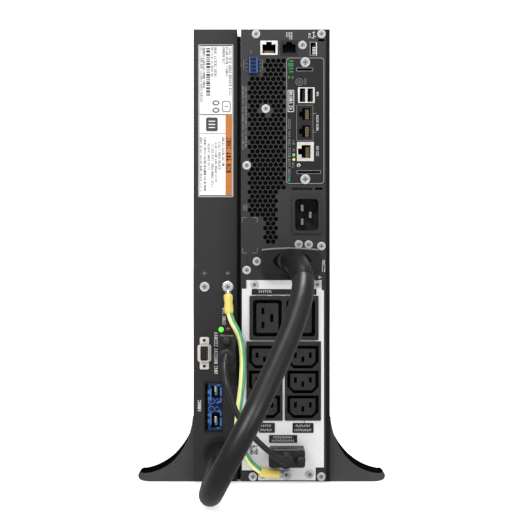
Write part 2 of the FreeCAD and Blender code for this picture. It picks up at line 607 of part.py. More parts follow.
def battery_module():
    tray = box("battery_case", f"{UPS_LEFT} + sheet_gauge + 3", f"{REAR} + battery_y", "battery_low",
               "ups_width - 2 * sheet_gauge - 6", "battery_depth", "battery_height")
    notch = box("battery_notch", f"{UPS_CENTRE} - 22", f"{REAR} + battery_y + battery_depth - 12",
                "battery_low + battery_height / 2 - 50", 44, 14, 100)
    grip = box("battery_grip", f"{UPS_CENTRE} - 5", f"{REAR} + battery_y + battery_depth - 8",
               "battery_low + battery_height / 2 - 51", 10, 6, 102)
    node("ups_battery_module", fuse("battery_body", [cut("battery_shell", tray, [notch]), grip]))


# ----------------------------------------------------------------------------- front
def front_edges(shape, y):
    found = []
    for index, edge in enumerate(shape.Edges, start=1):
        if all(abs(vertex.Y - y) < 0.01 for vertex in edge.Vertexes):
            found.append(index)
    return found


def bezel_shell(name, left, width):
    solid = box(name + "_solid", left, f"{FRONT} + clearance", BOTTOM, width, "bezel_depth - clearance",
                "chassis_height")
    doc.recompute()
    soft = doc.addObject("Part::Fillet", name + "_soft")
    soft.Base = solid
    soft.Edges = [(index, cell("bezel_corner"), cell("bezel_corner"))
                  for index in front_edges(solid.Shape, solid.Shape.BoundBox.YMax)]
    inside = box(name + "_inside", f"{left} + bezel_wall", f"{FRONT} - 1", f"{BOTTOM} + bezel_wall",
                 f"{width} - 2 * bezel_wall", "bezel_depth - bezel_wall + 1",
                 "chassis_height - 2 * bezel_wall")
    return soft, inside


def louvres(name, centre, width, levels):
    front = f"{FRONT} + bezel_depth - bezel_wall - 1"
    return [box(f"{name}_{i}", f"{centre} - {width} / 2", front, f"{z}", width, "bezel_wall + 2",
                "louvre_height") for i, z in enumerate(levels)]


def bezels():
    solid, inside = bezel_shell("ups_bezel", UPS_LEFT, "ups_width")
    bore = cylinder("ups_bezel_bore", UPS_CENTRE, f"{FRONT} + 10", "display_z",
                    "display_radius + clearance", "bezel_depth")
    levels = [f"20 + {i} * louvre_pitch" for i in range(26)] + [f"350 + {i} * louvre_pitch" for i in range(8)]
    node("ups_bezel", cut("ups_bezel_body", solid,
                          [inside, bore] + louvres("ups_louvre", UPS_CENTRE, "louvre_width", levels)))
    solid, inside = bezel_shell("pack_bezel", PACK_LEFT, "pack_width")
    levels = [f"20 + {i} * louvre_pitch" for i in range(44)]
    node("pack_bezel", cut("pack_bezel_body", solid,
                           [inside] + louvres("pack_louvre", PACK_CENTRE, "pack_louvre_width", levels)))


BUTTONS = {
    "power_button": (0, -22.5, 4.4), "up_button": (-16.5, -11, 3.4), "down_button": (-5.5, -11, 3.4),
    "enter_button": (5.5, -11, 3.4), "escape_button": (16.5, -11, 3.4),
}


def display():
    """A round turntable in the bezel: it turns a quarter so that it reads upright in a tower or a rack."""
    face = f"{FRONT} + bezel_depth - 2"
    disc = cylinder("display_disc", UPS_CENTRE, f"{face} - display_depth", "display_z", "display_radius",
                    "display_depth")
    pocket = box("display_pocket", f"{UPS_CENTRE} - screen_width / 2", f"{face} - 1.6",
                 "display_z + 9 - screen_height / 2", "screen_width", 3, "screen_height")
    wells = []
    for label, (dx, dz, radius) in BUTTONS.items():
        spot = (f"{UPS_CENTRE} + {dx}", f"display_z + {dz}")
        wells.append(cylinder(label + "_well", spot[0], f"{face} - 7", spot[1], f"{radius} + clearance", 9))
        node(label, cylinder(label + "_cap", spot[0], f"{face} - 5.5", spot[1], radius,
                             "5.5 + button_reach"))
    node("display_housing", cut("display_body", disc, [pocket] + wells))
    node("display_screen", box("display_glass", f"{UPS_CENTRE} - screen_width / 2 + 0.2", f"{face} - 1.6",
                               "display_z + 9 - screen_height / 2 + 0.2", "screen_width - 0.4", 1.3,
                               "screen_height - 0.4"))


# ----------------------------------------------------------------------------- battery pack
def pack_chassis():
    start = f"{REAR} + sheet_gauge"
    depth = "chassis_depth - sheet_gauge"
    shell = box("pack_tray_shell", PACK_LEFT, start, BOTTOM, "pack_width - sheet_gauge", depth,
                "chassis_height")
    inside = box("pack_tray_inside", f"{PACK_LEFT} + sheet_gauge", f"{start} - 1", f"{BOTTOM} + sheet_gauge",
                 "pack_width", f"{depth} + 2", "chassis_height - 2 * sheet_gauge")
    node("pack_tray", cut("pack_tray_body", shell, [inside]))
    plate = box("pack_cover_plate", f"{PACK_RIGHT} - sheet_gauge", REAR, BOTTOM, "sheet_gauge",
                "chassis_depth", "chassis_height")
    flange = box("pack_cover_flange", f"{PACK_RIGHT} - pack_flange", REAR, BOTTOM,
                 "pack_flange - sheet_gauge", "sheet_gauge", "chassis_height")
    node("pack_cover", fuse("pack_cover_body", [plate, flange]))

    panel = box("pack_panel_plate", PACK_LEFT, REAR, BOTTOM, "pack_width - pack_flange", "sheet_gauge",
                "chassis_height")
    through = ("1", "sheet_gauge + 1")
    windows = [
        block("pack_cut_data", "data_port_x", "data_port_z", 9, 18, *through),
        block("pack_cut_dc", "dc_socket_x", "dc_socket_z", "dc_socket_width", "dc_socket_height", *through),
        cylinder("pack_cut_grommet", "grommet_x", f"{REAR} - 1", "grommet_z", "grommet_radius - 2",
                 "sheet_gauge + 2"),
    ]
    for x in ("pack_led_green", "pack_led_red"):
        windows.append(cylinder(f"pack_cut_{x}", x, f"{REAR} - 1", "pack_led_z", "pack_led_radius",
                                "sheet_gauge + 2"))
    node("pack_rear_panel", cut("pack_panel_body", panel, windows))


def pack_connectors():
    plate = rounded("data_plate_round", block("data_plate", "data_port_x", "data_port_z", 12.6, 17.8, 1, "0"),
                    "data_corner")
    ends = rounded("data_ends_round", block("data_ends", "data_port_x", "data_port_z", 9.2, 30.8, 1, "0"),
                   "data_corner")
    shell = block("data_shell", "data_port_x", "data_port_z", 8.6, 15.2, 5.4, 10)
    holes = [cylinder(f"data_hole_{i}", "data_port_x", f"{REAR} - 2", f"data_port_z + {side} * 12.4", 1.3, 3)
             for i, side in enumerate((-1, 1))]
    well = block("data_well", "data_port_x", "data_port_z", 7.2, 13.8, 8, -1)
    node("pack_data_port", cut("data_port_body", fuse("data_port_solid", [plate, ends, shell]),
                               holes + [well]))

    case = block("dc_case", "dc_socket_x", "dc_socket_z", "dc_socket_width", "dc_socket_height", 0.6, 34)
    bed = block("dc_bed", "dc_socket_x + 1.8", "dc_socket_z", "dc_insert_width", "dc_insert_height", 2, 32)
    gap = block("dc_gap", "dc_socket_x - 2", "dc_socket_z", "dc_insert_width - 2", "dc_insert_height", 2, 9)
    node("pack_dc_socket", cut("dc_socket_body", case, [bed, gap]))
    insert = block("dc_insert", "dc_socket_x + 1.8", "dc_socket_z", "dc_insert_width", "dc_insert_height",
                   -1.4, 32)
    wells = [block(f"dc_insert_well_{i}", "dc_socket_x + 1.8", f"dc_socket_z + {side} * 12.4", 8.4, 15.6, 3, 20)
             for i, side in enumerate((-1, 1))]
    node("pack_dc_insert", cut("dc_insert_body", insert, wells))

    lamps = [cylinder(f"pack_lamp_{x}", x, f"{REAR} - 1", "pack_led_z", "pack_led_radius", 7)
             for x in ("pack_led_green", "pack_led_red")]
    node("pack_leds", together("pack_lamps", lamps))

    rings = []
    for i, (inset, reach) in enumerate(((0, 1.6), (3.4, 3.2), (4.6, 4.6))):
        rings.append(cylinder(f"grommet_ring_{i}", "grommet_x", f"{REAR} - {reach}", "grommet_z",
                              f"grommet_radius - {inset}", reach))
    barrel = cylinder("grommet_barrel", "grommet_x", REAR, "grommet_z", "grommet_radius - 2.2", 8)
    node("pack_grommet", fuse("grommet_body", rings + [barrel]))


def pack_cells():
    cells = []
    for i in range(7):
        for j in range(2):
            cells.append(box(f"pack_cell_{i}{j}", f"{PACK_LEFT} + sheet_gauge + 2",
                             f"{REAR} + {60 + 64 * i}", f"{BOTTOM} + {24 + 196 * j}",
                             "pack_width - 2 * sheet_gauge - 4", 61, 190))
    node("pack_cells", together("pack_cells_all", cells))


# ----------------------------------------------------------------------------- fasteners
UPS_SCREWS = [
    (-5.4, 429.4, 0), (57.1, 429.4, 0), (39, 418.8, 0), (3.9, 358, 0), (-14.3, 303.9, 0), (35.4, 228.4, 0),
    (44.9, 228.2, 0), (57, 226.8, 0), (-4.6, 212.2, 0), (-14.3, 203.9, 0), (-6.7, 189.9, 0.8),
    (53, 190.1, 0.8), (-8.4, 6.6, 0), (0.9, 8.3, 0.8), (46, 8.7, 0.8), (56.9, 6.6, 0), (23.7, 8.7, 1.9),
]
PACK_SCREWS = [(-54.5, 187.9, 0), (-32.4, 187.9, 1.1)]
CARD_SCREWS = [(41.6, 402.2, 1.5), (41.6, 290.6, 1.5)]


def pan_head(radius, height):
    """A cross-recessed pan head standing on its own XY plane."""
    dome = (radius ** 2 + height ** 2) / (2 * height)
    ball = Part.makeSphere(dome, Vector(0, 0, height - dome))
    head = Part.makeCylinder(radius, height).common(ball)
    for length, width in ((radius * 1.1, radius * 0.24), (radius * 0.24, radius * 1.1)):
        head = head.cut(Part.makeBox(length, width, height, Vector(-length / 2, -width / 2, height * 0.42)))
    return head


def screws(label, spots, radius, height):
    heads = []
    for x, z, reach in spots:
        head = pan_head(radius, height)
        head.rotate(Vector(), Vector(1, 0, 0), 90)
        head.rotate(Vector(), Vector(0, 1, 0), 17 * len(heads) % 90)
        head.translate(Vector(x, rear_y() - reach, z))
        heads.append(head)
    node(label, made(label + "_heads", Part.makeCompound(heads)))


# ----------------------------------------------------------------------------- stand
# The rear foot's profile from the chassis wall outward, as shares of its reach and height: the ends and
# middles of its arcs, from the top of the sweep round the toe to the sole.
FOOT_PROFILE = [
    (0.022, 1), (0.051, 0.83), (0.126, 0.63), (0.241, 0.443), (0.393, 0.292), (0.61, 0.178), (0.88, 0.125),
    (0.972, 0.074), (0.933, 0.019), (0.833, 0.004), (0.725, 0),
]
# Seen from above, the toe's near corner is a quarter circle, its radius a share of the reach.
FOOT_CORNER = 0.27
# The far side is an arc: its depth at the toe, and a point between toe and wall.
FOOT_TOE_DEPTH = 0.24
FOOT_WAIST = (0.36, 0.51)


def foot_shape(side_x, reach, height, depth):
    """One flared foot: a thin toe, a concave sweep up to the chassis and a tongue beneath it.

    Seen from above it is as deep as the tongue at the chassis and narrows toward the toe.
    """
    lift = cell("base_plate")
    tongue = cell("foot_tongue")
    start = rear_y()

    def at(u, z):
        return Vector(side_x + u, start, z)

    sweep = [at(share * reach, rise * height) for share, rise in FOOT_PROFILE]
    edges = [Part.Arc(*sweep[i:i + 3]) for i in range(0, len(sweep) - 1, 2)]
    corners = [sweep[-1], at(-tongue, 0), at(-tongue, lift), at(0, lift), at(0, height), sweep[0]]
    edges += [Part.LineSegment(*pair) for pair in zip(corners, corners[1:])]
    side_view = Part.Face(Part.Wire([edge.toShape() for edge in edges])).extrude(Vector(0, depth, 0))

    left, right = side_x - tongue, side_x + reach
    toe = Vector(right, start + depth * FOOT_TOE_DEPTH, 0)
    waist = Vector(side_x + reach * FOOT_WAIST[0], start + depth * FOOT_WAIST[1], 0)
    back = Part.Arc(toe, waist, Vector(side_x, start + depth, 0))
    corner = reach * FOOT_CORNER
    short = corner * (1 - math.sqrt(0.5))
    turns = [Vector(side_x, start + depth, 0), Vector(left, start + depth, 0), Vector(left, start, 0),
             Vector(right - corner, start, 0)]
    front = Part.Arc(turns[-1], Vector(right - short, start + short, 0), Vector(right, start + corner, 0))
    plan = [back, front, Part.LineSegment(Vector(right, start + corner, 0), toe)]
    plan += [Part.LineSegment(*pair) for pair in zip(turns, turns[1:])]
    top_view = Part.Face(Part.Wire(Part.sortEdges([edge.toShape() for edge in plan])[0]))
    top_view = top_view.extrude(Vector(0, 0, height))
    return side_view.common(top_view)


def stand():
    right = (cell("ups_width") + cell("pack_width") + cell("stack_gap")) / 2
    plates = []
    for label, offset in (("rear", rear_y() + cell("foot_setback")), ("front", cell("front_foot_y"))):
        foot = foot_shape(right, *(cell(f"{label}_foot_{part}") for part in ("reach", "height", "depth")))
        foot.translate(Vector(0, offset - rear_y(), 0))
        other = foot.mirror(Vector(), Vector(1, 0, 0))
        node(f"{label}_feet", made(f"{label}_feet_pair", Part.makeCompound([foot, other])))
        y = f"{REAR} + foot_setback" if label == "rear" else "front_foot_y"
        plates.append(box(f"{label}_plate", f"{PACK_LEFT} + foot_tongue", y, 0,
                          f"{UPS_RIGHT} - {PACK_LEFT} - 2 * foot_tongue", f"{label}_foot_depth", "base_plate"))
    node("stand_plates", together("stand_plates_pair", plates))
    ties = [box(f"tie_{i}{j}", PACK_RIGHT, y, z, "stack_gap", 30, 40)
            for i, y in enumerate((f"{REAR} + 60", f"{FRONT} - 90")) for j, z in enumerate((60, 330))]
    node("tie_brackets", together("ties", ties))


# ----------------------------------------------------------------------------- cords
# Each point: x, reach out of the rear panels, z.
DC_ROUTE = [
    (28.6, 34, 212.6), (32.5, 65, 212), (38.5, 97, 191), (26, 122, 153), (7, 148, 114), (-10, 168, 80),
    (-29, 170, 43), (-42, 140, 16), (-43, 94, 11), (-41, 49, 18), (-39.7, 4.6, 28.6),
]
COMM_ROUTE = [
    (-33, 38, 124.2), (-34.9, 47, 117), (-33.4, 55, 107), (-30, 59, 94.6), (-25.4, 59.5, 80),
    (-18.6, 58.5, 66), (-8, 56, 52.5), (4, 53, 40.5), (15, 47, 31), (22.8, 38, 26.4),
]
GROUND_ROUTE = [
    (-31.2, 7, 165.5), (-28.9, 10, 156), (-22.2, 15, 145.5), (-18.6, 18.5, 133), (-17.6, 22, 119.8),
    (-17.9, 24, 105.4), (-19.3, 26, 89.8), (-21.6, 26, 73.9), (-23, 25, 57.5), (-20.8, 21.5, 41.5),
    (-14.5, 16.5, 27.5), (-7.4, 12, 17.8), (0.9, 9, 12),
]


def point_on(spot):
    x, reach, z = spot
    return Vector(x, rear_y() - reach, z)


def tube(label, route, diameter):
    """A cord's solid: straight runs joined by tangent arcs, one circular section along them."""
    points = [point_on(spot) for spot in route]
    edges = []
    radii = []
    last = points[0]
    for before, here, after in zip(points, points[1:], points[2:]):
        incoming = (here - before).normalize()
        outgoing = (after - here).normalize()
        turn = incoming.getAngle(outgoing)
        back = 0.45 * min((here - before).Length, (after - here).Length)
        radius = back / math.tan(turn / 2)
        start = here - incoming * back
        end = here + outgoing * back
        middle = here + (outgoing - incoming).normalize() * (math.hypot(radius, back) - radius)
        edges.append(Part.LineSegment(last, start).toShape())
        edges.append(Part.Arc(start, middle, end).toShape())
        radii.append(round(radius, 1))
        last = end
    edges.append(Part.LineSegment(last, points[-1]).toShape())
    path = Part.Wire(edges)
    first = (points[1] - points[0]).normalize()
    section = Part.Wire([Part.makeCircle(diameter / 2, points[0], first)])
    solid = path.makePipeShell([section], True, False)
    expected = math.pi * diameter ** 2 / 4 * path.Length
    print(label, "length", round(path.Length, 1), "radii", radii,
          "volume ratio", round(solid.Volume / expected, 4))
    node(label, made(label + "_tube", solid))


def dc_plug():
    body = rounded("dc_plug_round",
                   block("dc_plug_block", "dc_plug_x", "dc_plug_z - 0.6", "dc_plug_width", "dc_plug_height",
                         "dc_plug_reach", "0"), "dc_plug_corner")
    boss = cylinder("dc_plug_boss", "dc_boss_x", f"{REAR} - dc_boss_reach", "dc_plug_z", "dc_boss_radius",
                    "dc_boss_reach - 4")
    collar = cylinder("dc_plug_collar", "dc_boss_x", f"{REAR} - dc_plug_reach - 5", "dc_plug_z",
                      "dc_collar_radius", "dc_plug_reach - 4")
    ear = block("dc_plug_ear", 26.6, 199, 10, 9, 3.2, "0")
    hole = cylinder("dc_plug_ear_hole", 26.6, f"{REAR} - 5", 197.4, 1.7, 6)
    node("dc_plug", cut("dc_plug_body", fuse("dc_plug_solid", [body, boss, collar, ear]), [hole]))


def comm_plugs():
    pieces = []
    for label, x, z, upright in (("upper", "upper_plug_x", "upper_plug_z", True),
                                 ("lower", "lower_plug_x", "lower_plug_z", False)):
        length, height = ("comm_plug_width", "comm_plug_length")
        boss_x, boss_z, screw_x, screw_z = (x, f"{z} - 2", x, f"{z} + 11.6")
        start = "0"
        if not upright:
            length, height = (height, length)
            boss_x, boss_z, screw_x, screw_z = (f"{x} - 0.8", f"{z} - 1", f"{x} + 12.6", f"{z} - 1")
            start = "-outlet_panel_gauge"
        body = rounded(f"comm_{label}_round",
                       block(f"comm_{label}_block", x, z, length, height, "comm_plug_reach", start),
                       "comm_plug_corner")
        boss = cylinder(f"comm_{label}_boss", boss_x, f"{REAR} - comm_boss_reach", boss_z, "comm_boss_radius",
                        "comm_boss_reach - 10")
        knob = cylinder(f"comm_{label}_knob", screw_x, f"{REAR} - comm_plug_reach - 3", screw_z, 3.6, 10)
        pieces.append(fuse(f"comm_{label}_plug", [body, boss, knob]))
    node("comm_plugs", together("comm_plug_pair", pieces))


def ground_lugs():
    """Two ring terminals, each with a crimped sleeve over the wire's end."""
    pieces = []
    for label, x, z, face, tip in (("upper", -32.4, 187.9, 0, point_on(GROUND_ROUTE[0])),
                                   ("lower", 23.7, 8.7, 0.8, point_on(GROUND_ROUTE[-1]))):
        centre = Vector(x, rear_y() - face - 1.1, z)
        ring = Part.makeCylinder(5.2, 1.1, centre, Vector(0, 1, 0))
        eye = Part.makeCylinder(2.4, 1.1, centre, Vector(0, 1, 0))
        toward = (tip - centre).normalize()
        throat = centre + toward * 7.5 + Vector(0, -1.6, 0)
        neck = Part.makeCylinder(1.9, (throat - centre).Length, centre + Vector(0, -1.9, 0), throat - centre)
        keep = Part.makeBox(40, 30, 40, Vector(x - 20, centre.y - 30, z - 20))
        keep = keep.cut(Part.makeCylinder(4.6, 40, centre - Vector(0, 39, 0), Vector(0, 1, 0)))
        neck = neck.common(keep)
        sleeve = Part.makeCylinder(4.3, (tip - throat).Length, throat, tip - throat)
        pieces.append(ring.cut(eye).fuse([neck, sleeve]).removeSplitter())
    node("ground_lugs", made("ground_lugs_pair", Part.makeCompound(pieces)))


# ----------------------------------------------------------------------------- build and write
ups_chassis()
rear_panel()
vent_grille()
panel_jacks()
emergency_off_plug()
card_bay()
network_card()
outlets()
mains_inlet()
fans()
power_stage()
battery_module()
bezels()
display()
pack_chassis()
pack_connectors()
pack_cells()
screws("ups_screws", UPS_SCREWS, cell("screw_radius"), cell("screw_head"))
screws("pack_screws", PACK_SCREWS, cell("pack_screw_radius"), cell("screw_head"))
screws("card_screws", CARD_SCREWS, cell("pack_screw_radius"), cell("screw_head"))
stand()
tube("dc_cable", DC_ROUTE, cell("dc_cable_diameter"))
dc_plug()
tube("comm_cable", COMM_ROUTE, cell("comm_cable_diameter"))
comm_plugs()
tube("ground_wire", GROUND_ROUTE, cell("ground_wire_diameter"))
ground_lugs()
doc.recompute()

for item in doc.Objects:
    if "Invalid" in item.State or "Error" in item.State:
        raise RuntimeError(f"{item.Name} failed: {item.State}")
for item in nodes:
    if item.Shape.isNull() or not item.Shape.isValid():
        raise RuntimeError(f"{item.Label} has no valid shape")

os.makedirs("parts", exist_ok=True)
for item in nodes:
    item.Shape.exportStep(f"parts/{item.Label}.step")
print(len(nodes), "nodes")
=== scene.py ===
"""The look of the tower UPS and its battery pack: materials, marks, plugs, cords, light and camera."""
from bisect import bisect_left
import math
import random

import bmesh
import bpy
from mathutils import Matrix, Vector


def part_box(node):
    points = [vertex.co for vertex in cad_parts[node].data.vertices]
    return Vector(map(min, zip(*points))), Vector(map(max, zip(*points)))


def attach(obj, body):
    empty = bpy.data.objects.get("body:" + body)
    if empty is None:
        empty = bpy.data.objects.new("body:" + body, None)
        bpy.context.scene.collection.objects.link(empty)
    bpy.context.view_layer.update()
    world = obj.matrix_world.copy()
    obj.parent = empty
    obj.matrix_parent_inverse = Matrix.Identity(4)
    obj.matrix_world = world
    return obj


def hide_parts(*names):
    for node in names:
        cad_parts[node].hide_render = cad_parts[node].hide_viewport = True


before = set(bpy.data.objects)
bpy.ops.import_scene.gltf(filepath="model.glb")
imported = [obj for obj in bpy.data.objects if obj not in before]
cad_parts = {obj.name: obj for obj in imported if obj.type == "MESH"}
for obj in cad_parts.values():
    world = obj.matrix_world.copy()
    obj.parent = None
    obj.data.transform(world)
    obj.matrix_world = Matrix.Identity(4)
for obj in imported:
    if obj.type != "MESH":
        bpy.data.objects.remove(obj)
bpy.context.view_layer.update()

MM = 0.001
CHASSIS = "chassis"
CARD = "network_card"
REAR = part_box("ups_rear_panel")[0][1]


def spot(x, reach, z):
    """A point from millimetres: x and z as in the CAD, and how far it is outside the rear panels."""
    return Vector((x * MM, REAR - reach * MM, z * MM))


def add(name, data):
    item = bpy.data.objects.new(name, data)
    bpy.context.scene.collection.objects.link(item)
    return item


# ---- camera
CAMERA_DISTANCE = 1.2
CAMERA_X = -0.0016
CAMERA_Z = 0.2135
PICTURE_WIDTH = 0.497
SENSOR = 36


def camera():
    """Square on to the rear panels, with a picture that is PICTURE_WIDTH wide there."""
    data = bpy.data.cameras.new("camera")
    data.sensor_width = SENSOR
    data.lens = SENSOR * CAMERA_DISTANCE / PICTURE_WIDTH
    data.clip_end = 100
    item = add("camera", data)
    item.location = (CAMERA_X, REAR - CAMERA_DISTANCE, CAMERA_Z)
    item.rotation_euler = (math.pi / 2, 0, 0)
    bpy.context.scene.camera = item


camera()


# ---- materials
NOISE_LOW = 0.3
NOISE_HIGH = 0.7
# radius of the painted edge highlight on small parts and on sheet, and how much lighter it makes them
FINE_EDGE = 0.0004
SHEET_EDGE = 0.0006
EDGE_SHINE = 1.5
WELL_STEP = 0.5


class Shader:
    """A node material: a principled surface whose colour, roughness and relief come from noise."""

    def __init__(self, name, roughness=0.5, metallic=0.0, specular=0.5, coat=0.0):
        self.material = bpy.data.materials.new(name)
        self.material.use_nodes = True
        self.nodes = self.material.node_tree.nodes
        self.links = self.material.node_tree.links
        self.surface = self.nodes["Principled BSDF"]
        self.fill(self.surface, Roughness=roughness, Metallic=metallic, Specular_IOR_Level=specular,
                  Coat_Weight=coat)
        self.coordinates = self.nodes.new("ShaderNodeTexCoord")

    def feed(self, value, socket):
        """Link a socket, or set a number or colour."""
        if isinstance(value, (int, float)):
            socket.default_value = value
        elif isinstance(value, tuple):
            socket.default_value = (*value, 1) if len(socket.default_value) == 4 else value
        else:
            self.links.new(value, socket)

    def fill(self, node, **inputs):
        """Feed a node's inputs by name, with _ for each space in the name."""
        for name, value in inputs.items():
            self.feed(value, node.inputs[name.replace("_", " ")])
        return node

    def node(self, kind, **inputs):
        return self.fill(self.nodes.new("ShaderNode" + kind), **inputs)

    def noise(self, scale, detail=3.0, stretch=(1, 1, 1)):
        mapping = self.node("Mapping", Vector=self.coordinates.outputs["Object"], Scale=stretch)
        texture = self.node("TexNoise", Vector=mapping.outputs["Vector"], Scale=scale, Detail=detail,
                            Roughness=0.55)
        return texture.outputs["Fac"]

    def blend(self, factor, stops):
        """A colour ramp through (position, colour) stops."""
        ramp = self.node("ValToRGB", Fac=factor)
        elements = ramp.color_ramp.elements
        for element, (position, colour) in zip(elements, (stops[0], stops[-1])):
            element.position = position
            element.color = (*colour, 1)
        for position, colour in stops[1:-1]:
            elements.new(position).color = (*colour, 1)
        return ramp.outputs["Color"]

    def ramp(self, factor, low, high, start=NOISE_LOW, end=NOISE_HIGH):
        return self.blend(factor, ((start, low), (end, high)))

    def mix(self, factor, first, second):
        mix = self.node("Mix")
        mix.data_type = "RGBA"
        self.feed(factor, mix.inputs["Factor"])
        self.feed(first, mix.inputs[6])
        self.feed(second, mix.inputs[7])
        return mix.outputs[2]

    def span(self, value, start, end, low=0.0, high=1.0):
        """Map start to low and end to high, and hold those values beyond."""
        span = self.node("MapRange", Value=value, From_Min=start, From_Max=end, To_Min=low, To_Max=high)
        return span.outputs["Result"]

    def axis(self, space, letter):
        """X, Y or Z of the object's own coordinates or normal."""
        return self.node("SeparateXYZ", Vector=self.coordinates.outputs[space]).outputs[letter]

    def dot(self, first, second):
        dot = self.node("VectorMath")
        dot.operation = "DOT_PRODUCT"
        self.feed(first, dot.inputs[0])
        self.feed(second, dot.inputs[1])
        return dot.outputs["Value"]

    def edge_highlight_mask(self, radius):
        """Near 1 on convex and concave edges, from how far a rounded normal turns from the true one; it
        places a painted highlight along edges.
        """
        bevel = self.node("Bevel", Radius=radius)
        bevel.samples = 4
        geometry = self.node("NewGeometry")
        return self.span(self.dot(bevel.outputs["Normal"], geometry.outputs["Normal"]), 0.995, 0.85)

    def colour(self, value):
        self.fill(self.surface, Base_Color=value)

    def glow(self, colour, strength):
        self.fill(self.surface, Emission_Color=colour, Emission_Strength=strength)

    def vary_roughness(self, factor, low, high):
        self.fill(self.surface, Roughness=self.span(factor, NOISE_LOW, NOISE_HIGH, low, high))

    def bump(self, factor, distance, strength=0.5):
        bump = self.node("Bump", Height=factor, Distance=distance, Strength=strength)
        self.fill(self.surface, Normal=bump.outputs["Normal"])

    def skin(self, patches, low, high, grain, depth, strength=0.5):
        """Patchy gloss and a fine relief, each from noise of (scale, detail); gives the material."""
        self.vary_roughness(self.noise(*patches), low, high)
        self.bump(self.noise(*grain), depth, strength)
        return self.material


def grey(level):
    return (level, level, level * 1.015)


def shade(colour, share):
    return tuple(min(1, c * share) for c in colour)


def powder_coat(name, level, roughness=0.5, specular=0.35):
    """Orange-peel paint on sheet steel with fine specks all over; its edges are painted lighter, partly as
    wear and partly as a painted highlight.
    """
    shader = Shader(name, roughness, specular=specular)
    base = shader.ramp(shader.noise(9, 4), grey(level * 0.92), grey(level * 1.08))
    base = shader.mix(0.35, base, shader.ramp(shader.noise(1500, 2), grey(level * 0.7), grey(level * 1.35)))
    # edges lighter: painted highlight, with some wear
    shader.colour(shader.mix(shader.edge_highlight_mask(SHEET_EDGE), base, grey(level * 1.2)))
    return shader.skin((30, 5), roughness - 0.06, roughness + 0.08, (1100, 2), 0.00006, 0.6)


def shaded_sheet(name, level, fade):
    """Powder coat with painted shade that darkens it toward the pack's rounded inner edge beside the gap;
    fade holds (x in mm, share) pairs.
    """
    shader = Shader(name, 0.5, specular=0.3)
    start, end = fade[0][0], fade[-1][0]
    # painted shade: darker toward the rounded edge by the gap
    across = shader.span(shader.axis("Object", "X"), start * MM, end * MM)
    band = shader.blend(across, [((x - start) / (end - start), grey(level * share)) for x, share in fade])
    speck = shader.ramp(shader.noise(1500, 2), grey(level * 0.5), grey(level * 1.1))
    shader.colour(shader.mix(0.2, band, speck))
    return shader.skin((30, 5), 0.44, 0.58, (1100, 2), 0.00006, 0.6)


def moulded(name, colour, roughness=0.45, specular=0.4, grain=1600, depth=0.00004, edge=EDGE_SHINE):
    """Injection-moulded plastic with a spark-eroded grain, and a painted highlight along its edges."""
    shader = Shader(name, roughness, specular=specular)
    base = shader.ramp(shader.noise(22, 5), shade(colour, 0.86), shade(colour, 1.14))
    # painted highlight: edges lighter by the edge factor
    shader.colour(shader.mix(shader.edge_highlight_mask(FINE_EDGE), base, shade(colour, edge)))
    return shader.skin((70, 5), roughness - 0.08, roughness + 0.1, (grain, 3), depth)


def metal(name, colour, roughness=0.25, brushed=(1, 1, 1)):
    """Plated or galvanised metal with fine scratches and a dull film in patches."""
    shader = Shader(name, roughness, metallic=1.0)
    base = shader.ramp(shader.noise(60, 6), shade(colour, 0.8), colour)
    streak = shader.noise(420, 4, brushed)
    shader.colour(shader.mix(0.3, base, shader.ramp(streak, shade(colour, 0.6), colour)))
    shader.vary_roughness(shader.noise(240, 4, brushed), roughness - 0.08, roughness + 0.14)
    shader.bump(streak, 0.00003, 0.35)
    return shader.material


def ink(name, colour, roughness=0.6):
    """Screen-printed ink, a little uneven in cover."""
    shader = Shader(name, roughness, specular=0.3)
    cover = shader.noise(900, 3)
    shader.colour(shader.ramp(cover, shade(colour, 0.72), colour, 0.25, 0.6))
    shader.bump(cover, 0.00002, 0.4)
    return shader.material


def lens(name, colour, glow):
    """A tinted lamp lens, lit from inside when glow is above 0."""
    shader = Shader(name, 0.18, specular=0.6, coat=0.4)
    shader.colour(shader.ramp(shader.noise(500, 2), shade(colour, 0.8), colour))
    shader.glow(colour, glow)
    return shader.material


def jacket(name, colour, roughness=0.42, specular=0.45):
    """Extruded cable jacket: soft black with faint scuffs and dust."""
    shader = Shader(name, roughness, specular=specular)
    base = shader.ramp(shader.noise(45, 6), shade(colour, 0.88), shade(colour, 1.14))
    dust = shader.noise(700, 4)
    shader.colour(shader.mix(0.14, base, shader.ramp(dust, colour, shade(colour, 1.9), 0.5, 0.8)))
    shader.vary_roughness(shader.noise(90, 5), roughness - 0.04, roughness + 0.06)
    shader.bump(dust, 0.000012, 0.3)
    return shader.material


def two_colour_jacket(name, first, second, toward):
    """Striped insulation: the second colour covers the side of the wire that faces "toward"."""
    shader = Shader(name, 0.42, specular=0.3)
    side = shader.dot(shader.coordinates.outputs["Normal"], toward)
    base = shader.ramp(side, first, second, 0.06, 0.16)
    mottle = shader.ramp(shader.noise(160, 5), (0.02, 0.05, 0.02), (0.9, 0.9, 0.7))
    shader.colour(shader.mix(0.1, base, mottle))
    return shader.skin((120, 4), 0.38, 0.52, (900, 3), 0.00003, 0.4)


def foot_plastic_with_painted_shade(name, side, top):
    """Grained matt plastic on the faces of a foot, with painted shade that makes its upward sweep near-black.
    """
    shader = Shader(name, 0.52, specular=0.0)
    # painted shade: faces that turn upward are near-black
    upward = shader.span(shader.axis("Normal", "Z"), 0.06, 0.3)
    grain = shader.noise(24, 4)
    flank = shader.ramp(grain, grey(side * 0.88), grey(side * 1.12))
    sweep = shader.ramp(grain, grey(top * 0.8), grey(top * 1.3))
    shader.colour(shader.mix(upward, flank, sweep))
    return shader.skin((70, 5), 0.46, 0.6, (1300, 3), 0.00006)


